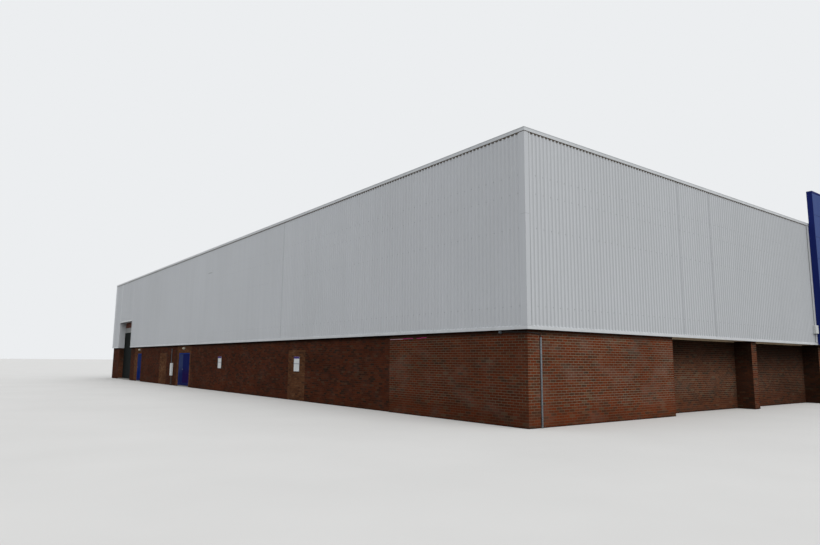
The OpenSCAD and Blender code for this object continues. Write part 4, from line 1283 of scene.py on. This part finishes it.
# %% [markdown]
# ## Small fittings
# Oval lamps, a meter box, conduits, plates, a bell box and a sensor hang on the walls. They are
# small, but they tell the eye how big the walls are. A lamp is a steel base with a moulded lens: both
# are ovals that follow each other away from the wall, and those of the lens shrink like a dome.
# %% Lamps
white_plastic = coated_metal("plastic_white", paint(196, 199, 199), paint(164, 165, 162), 0.4, 10.0)
grey_plastic = coated_metal("plastic_grey", paint(96, 100, 103), paint(72, 74, 74), 0.5, 16.0)
opal = coated_metal("lamp_opal_lens", paint(168, 162, 144), paint(136, 128, 108), 0.4, 20.0, 0.1)
LAMP_W, BASE_T, ROUND, DOME, DOME_SHARE, DOME_ARC = 0.17, 0.014, 24, 5, 0.9, 0.93
lamp_x0, lamp_x1, _, _, lamp_z0, lamp_z1 = span("bulkhead_lamps")
lamp_ys = marks("bulkhead_lamps", 1)
lamp_r = (lamp_z1 - lamp_z0) / 2
lens_x = lamp_x1 - BASE_T
lamps = Piece(pale_steel, opal)


def oval(start, share, x):
    """A ring round the lamp that starts at this y, its two half circles drawn apart."""
    corners = []
    for i in range(ROUND):
        angle = 2 * math.pi * (i + 0.5) / ROUND
        off = math.copysign(LAMP_W / 2 - lamp_r, math.cos(angle))
        y = start + LAMP_W / 2 + off + lamp_r * share * math.cos(angle)
        corners.append((x, y, (lamp_z0 + lamp_z1) / 2 + lamp_r * share * math.sin(angle)))
    return corners


for start in (lamp_ys[0], lamp_ys[-1] - LAMP_W):
    lamps.stack([oval(start, 1.0, lamp_x1), oval(start, 1.0, lens_x + 0.002), oval(start, 0.96, lens_x)])
    dome = []
    for i in range(DOME + 1):
        angle = math.pi / 2 * i / DOME
        x = lens_x - (lens_x - lamp_x0) * math.sin(angle)
        dome.append(oval(start, DOME_SHARE * math.cos(angle * DOME_ARC), x))
    lamps.stack(dome, 1)
lamps.make("bulkhead_lamps_opal", "lamp_lens", "bulkhead_lamps")

# %% [markdown]
# ## Meter box
# The meter box is a white moulded case with a door that stands a few millimetres proud, on the side
# that looks away from the wall, with a small lock and two hinges. The case is its solid with rounded
# edges. Lock and hinges are small boxes in grey, enough at this scale.
# %% Meter box
soften("meter_box", "meter_box_case", white_plastic, 0.005)
mx0, _, my0, my1, mz0, mz1 = span("meter_box")
RIM, PANEL_T = 0.014, 0.003
panel_x = mx0 - PANEL_T
meter_door = Piece(white_plastic, grey_plastic)
meter_door.box(panel_x, mx0 + 0.001, my0 + RIM, my1 - RIM, mz0 + RIM, mz1 - RIM)
lock_y, lock_z = my0 + RIM + 0.01, (mz0 + mz1) / 2
meter_door.box(panel_x - 0.002, panel_x, lock_y, lock_y + 0.012, lock_z, lock_z + 0.012, 1)
hinge_y = my1 - RIM
for z in (mz0 + 0.06, mz1 - 0.09):
    meter_door.box(panel_x - 0.003, mx0, hinge_y - 0.004, hinge_y + 0.004, z, z + 0.03, 1)
meter_door.make("meter_box_door", "white_plastic")

# %% [markdown]
# ## Notice plates and bell box
# The two notice plates are bare: each has a purple band along its top and a joint across it, and is
# held by four screws. The bell box is bare too. Bands and screws are pieces of their own that stand
# up to two millimetres off the plate, so that they need no picture.
# %% Plates and bell box
soften("notice_plates", "notice_plates_bare", white_plastic, 0.0012)
plate_x, _, _, _, plate_z0, plate_z1 = span("notice_plates")
plate_ys = marks("notice_plates", 1)
plates = list(zip(plate_ys[::2], plate_ys[1::2]))
screws = Piece(galvanised)
SCREW_R, SCREW_IN, SCREW_T, SCREW_SIDES = 0.004, 0.018, 0.002, 12
for y0, y1 in plates:
    for y in (y0 + SCREW_IN, y1 - SCREW_IN):
        for z in (plate_z0 + SCREW_IN, plate_z1 - SCREW_IN):
            rim = ring(SCREW_R, SCREW_SIDES, (y, z))[::-1]
            screws.stack([[(x, a, b) for a, b in rim] for x in (plate_x, plate_x - SCREW_T)])
screws.make("notice_plate_screws", "galvanised_steel")
band_purple = coated_metal("notice_band_purple", paint(54, 34, 108), paint(70, 52, 116), 0.5, 18.0, 0.1)
band_grey = coated_metal("notice_joint_grey", paint(124, 124, 138), paint(112, 112, 122), 0.5, 18.0, 0.1)
bands = Piece(band_purple, band_grey)
BAND_H, BAND_T, JOINT_AT, JOINT_H = 0.045, 0.0008, 0.15, 0.012
for y0, y1 in plates:
    for foot, top, kind in ((BAND_H, 0.001, 0), (JOINT_AT + JOINT_H, JOINT_AT, 1)):
        bands.box(plate_x - BAND_T, plate_x + 0.0005, y0 + 0.001, y1 - 0.001, plate_z1 - foot,
                  plate_z1 - top, kind)
bands.make("notice_plate_bands", "white_plastic")
soften("alarm_box", "bell_box_bare", white_plastic, 0.006)

# %% [markdown]
# ## Conduits
# Galvanised conduit runs down the front beside the corner, and grey conduit down to the meter box.
# Saddles hold both.
# Below the meter box a brown duct comes up from the floor. The solids already have the right form, so
# their faces are sorted by place into three finishes, and only the saddles are new.
# %% Conduits and their saddles
pipes = soften("wall_conduits", "conduits_and_duct", galvanised, 0.001)
duct_brown = coated_metal("duct_brown_plastic", paint(66, 54, 48), paint(54, 46, 42), 0.6, 12.0, 0.02)
pipe_grey = coated_metal("conduit_grey_paint", paint(84, 84, 86), paint(70, 69, 69), 0.6, 12.0, 0.02)
pipes.data.materials.append(duct_brown)
pipes.data.materials.append(pipe_grey)
for face in pipes.data.polygons:
    if face.center.y - corner.y > 1:
        face.material_index = 1 if face.center.z < mz0 - 1e-4 else 2
conduit_top = span("wall_conduits")[5]
CONDUIT_R = -span("wall_conduits")[2] / 2
conduit_x = marks("wall_conduits", 0)[-1] - CONDUIT_R
saddles = Piece(galvanised)
SADDLE_T, SADDLE_W, ARC = 0.0012, 0.014, 10
SADDLE_R, BORE_R = CONDUIT_R + SADDLE_T, CONDUIT_R + 0.0001
FRONT_SADDLES, SIDE_SADDLES = (0.16, 0.5, 0.84, 1.16), (0.06, 0.36)


def saddle(cx, cy, z, out):
    """Half a ring round a pipe; out is the way the wall looks, as an angle."""
    turns = [out + math.pi * (i / ARC - 0.5) for i in range(ARC + 1)]
    outline = [(cx + SADDLE_R * math.cos(t), cy + SADDLE_R * math.sin(t)) for t in turns]
    outline += [(cx + BORE_R * math.cos(t), cy + BORE_R * math.sin(t)) for t in reversed(turns)]
    saddles.stack([[(x, y, h) for x, y in outline] for h in (z, z + SADDLE_W)])


for z in FRONT_SADDLES:
    saddle(conduit_x, -CONDUIT_R, z, -math.pi / 2)
for up in SIDE_SADDLES:
    saddle(step_x - CONDUIT_R, my1 - CONDUIT_R, mz1 + up, math.pi)
saddles.make("conduit_saddles", "galvanised_steel")

# %% [markdown]
# ## Sensor and cable
# From the top of the front conduit a black cable climbs to the drip and goes round the corner to a
# small grey sensor. The sensor is a moulded cone of rings. The cable could be a curve with a round
# bevel, but as rings along a route it joins the sensor in one mesh and needs no conversion.
# %% Sensor and cable
sensor_x = span("corner_sensor")[0]
sensor_y = marks("corner_sensor", 1)[-2:]
sensor_z = (marks("corner_sensor", 2)[1], span("corner_sensor")[5])
sensor_grey = coated_metal("sensor_grey_case", paint(78, 82, 85), paint(66, 69, 71), 0.5, 20.0, 0.1)
sensor = Piece(sensor_grey, rubber)
middle_y, middle_z = sum(sensor_y) / 2, sum(sensor_z) / 2
half = (sensor_y[1] - sensor_y[0]) / 2
SENSOR_SIDES, CABLE_SIDES, CABLE_R, CLIP = 16, 8, 0.0055, 0.006
cone = ((0.0, 1.0), (-0.012, 1.0), (-0.022, 0.86), (-0.034, 0.72), (sensor_x, 0.5))
rings = []
for out, share in cone:
    rim = ring(half * share, SENSOR_SIDES, (middle_y, middle_z))
    rings.append([(out, y, z) for y, z in rim])
sensor.stack(rings)
route = [
    (conduit_x, -CONDUIT_R, conduit_top - 0.004), (conduit_x, -0.009, conduit_top + 0.02),
    (conduit_x - 0.02, -CLIP, conduit_top + 0.04), (conduit_x - 0.07, -CLIP, plinth_h - 0.052),
    (0.11, -CLIP, plinth_h - 0.048), (0.0, -CLIP, plinth_h - 0.04), (-CLIP, 0.0, plinth_h - 0.04),
    (-CLIP, 0.16, plinth_h - 0.034), (-CLIP, 0.36, plinth_h - 0.025),
    (-CLIP, sensor_y[0] + 0.004, middle_z)]
rings = []
for i, spot in enumerate(route):
    ahead = Vector(route[min(i + 1, len(route) - 1)]) - Vector(route[max(i - 1, 0)])
    ahead.normalize()
    level = Vector((0, 0, 1)) if abs(ahead.z) < 0.9 else Vector((0, 1, 0))
    side = ahead.cross(level).normalized()
    over = side.cross(ahead)
    rim = ring(CABLE_R, CABLE_SIDES)
    rings.append([tuple(Vector(spot) + side * a + over * b) for a, b in rim])
sensor.stack(rings, 1)
sensor.make("corner_sensor_and_cable", "grey_plastic", "corner_sensor")
soften("portal_rails", "portal_rails_painted", portal_side, 0.001)
cable_l = sum(math.dist(a, b) for a, b in zip(route, route[1:]))
print("cable along the wall:", round(cable_l, 3), "m")

# %% [markdown]
# ## A strip of tape that stayed on the wall
# Under the drip beside the step, the remains of a pink and white tape still stick to the brick. Thin
# flat lengths follow each other, each a little higher or lower than the last. A strip of real
# thickness casts a hair of shadow, which a patch of colour on the brick wouldn't.
# %% Tape on the brick
tape_pink = coated_metal("tape_faded_pink", paint(146, 40, 88), paint(104, 36, 58), 0.6, 24.0, 0.1)
tape_white = coated_metal("tape_faded_white", paint(158, 128, 136), paint(134, 118, 112), 0.6, 24.0, 0.1)
tape = Piece(tape_pink, tape_white)
TAPE_H, TAPE_T = 0.013, 0.0012
LENGTHS = ((2.16, 2.3, 1.243, 0), (2.3, 2.42, 1.236, 0), (2.52, 2.68, 1.24, 0),
           (2.68, 2.8, 1.238, 0), (2.8, 3.17, 1.233, 1))
for y0, y1, z, kind in LENGTHS:
    tape.box(-TAPE_T, 0.0, y0, y1, z, z + TAPE_H, kind)
tape.make("tape_remains", "white_plastic")

# %% [markdown]
# ## The photo's camera
# The camera stands at eye height, off to the left of the corner, and looks up a little. Its place and
# its turn were worked out from the edges of the building in the photo. They are given for the real
# hall in metres and halved here, so the picture of the model is the picture of the hall.
# %% Camera
FOCAL_PX, IMAGE_W, SENSOR_W = 616.21, 820, 36.0
YAW, PITCH_UP, ROLL = 0.649646, 0.142075, 0.008695
REAL_PLACE = (-12.5727, -11.3127, 1.7567)
camera = bpy.data.objects.new("photo_camera", bpy.data.cameras.new("photo_camera"))
bpy.context.scene.collection.objects.link(camera)
camera.data.sensor_width = SENSOR_W
camera.data.lens = FOCAL_PX / IMAGE_W * SENSOR_W
camera.data.clip_start, camera.data.clip_end = 0.1, 1000.0
flat = math.cos(PITCH_UP)
ahead = Vector((math.sin(YAW) * flat, math.cos(YAW) * flat, math.sin(PITCH_UP)))
level = Vector((math.cos(YAW), -math.sin(YAW), 0.0))
upward = level.cross(ahead)
right_way = level * math.cos(ROLL) + upward * math.sin(ROLL)
up_way = upward * math.cos(ROLL) - level * math.sin(ROLL)
turn = Matrix((right_way, up_way, -ahead)).transposed()
camera.matrix_world = turn.to_4x4()
camera.location = Vector(REAL_PLACE) / 2 + corner
bpy.context.scene.camera = camera
print("camera at", [round(v, 3) for v in camera.location], "lens", round(camera.data.lens, 2), "mm")

# %% [markdown]
# ## Sky
# The light comes from a wide pale sky, much like a bright day under thin cloud. It lights the building
# a little more blue and less bright than it looks, so the node tree asks whether a ray of light comes
# from the camera, a mirror or a pane, or only lights something. An image of a sky would do as well,
# but it would bring its own sun and its own colours.
# %% Sky and background
SKY_LIGHT = 0.86
scene = bpy.context.scene
scene.view_settings.view_transform = "Standard"
world = bpy.data.worlds.new("studio")
scene.world = world
world.use_nodes = True
sky = world.node_tree
seen = sky.nodes["Background"]
seen.inputs["Color"].default_value = paint(236, 238, 240)
seen.inputs["Strength"].default_value = 1.0
lit = sky.nodes.new("ShaderNodeBackground")
lit.inputs["Color"].default_value = paint(246, 249, 255)
lit.inputs["Strength"].default_value = SKY_LIGHT


def plainly_seen(tree):
    """1 where the camera, a mirror or a pane looks at it, 0 where it only lights the object."""
    rays = tree.nodes.new("ShaderNodeLightPath")
    total = rays.outputs["Is Camera Ray"]
    for name in ("Is Glossy Ray", "Is Transmission Ray"):
        both = tree.nodes.new("ShaderNodeMath")
        both.operation = "MAXIMUM"
        tree.links.new(total, both.inputs[0])
        tree.links.new(rays.outputs[name], both.inputs[1])
        total = both.outputs[0]
    return total


either = sky.nodes.new("ShaderNodeMixShader")
sky.links.new(plainly_seen(sky), either.inputs[0])
sky.links.new(lit.outputs[0], either.inputs[1])
sky.links.new(seen.outputs[0], either.inputs[2])
sky.links.new(either.outputs[0], sky.nodes["World Output"].inputs["Surface"])

print("sky lights with", SKY_LIGHT, "and is seen at 1.0")

# %% [markdown]
# ## A very soft sun
# One sun lamp gives the walls a light side and a dark side. It shines on the front from halfway up
# the sky, and its wide spread leaves hardly any edge to the shadows. An area lamp would have to be as
# wide as the hall to do that, and its light would fade along the wall.
# %% Sun
SUN_LIGHT, SUN_SPREAD, SUN_WAY = 1.9, 70, (0.16, 0.66, -0.735)
sun = bpy.data.objects.new("soft_sun", bpy.data.lights.new("soft_sun", "SUN"))
sun.data.energy = SUN_LIGHT
sun.data.angle = math.radians(SUN_SPREAD)
sun.data.color = (1.0, 0.985, 0.96)
sun.rotation_euler = Vector(SUN_WAY).to_track_quat("-Z", "Y").to_euler()
scene.collection.objects.link(sun)
print("sun", SUN_LIGHT, "with a spread of", SUN_SPREAD, "degrees")

# %% [markdown]
# ## Studio floor
# The floor under the building is a plain pale sheet, wide enough to reach the horizon and a hair lower
# than the building, so that the two never lie in one plane. It stays out of the model. To the camera
# it is pale, but it sends less light up at the walls and the soffit than such a pale sheet would.
# %% Studio floor
FLOOR_REACH, FLOOR_DROP = 400.0, 0.002
ground = bpy.data.meshes.new("studio_floor")
floor_corners = [(x * FLOOR_REACH, y * FLOOR_REACH, 0) for x, y in ((-1, -1), (1, -1), (1, 1), (-1, 1))]
ground.from_pydata(floor_corners, [], [(0, 1, 2, 3)])
floor_finish = Finish("studio_floor", 0.9)
pale = floor_finish.ramp(floor_finish.noise(0.6), (0.3, paint(196, 195, 192)), (0.7, paint(200, 199, 196)))
seen_share = plainly_seen(floor_finish.tree)
floor_finish.colour(floor_finish.mix(seen_share, paint(130, 128, 124), pale))
ground.materials.append(floor_finish.material)
floor = bpy.data.objects.new("studio_floor", ground)
scene.collection.objects.link(floor)
floor.location.z = -FLOOR_DROP
print("floor lies", FLOOR_DROP, "m under the building")
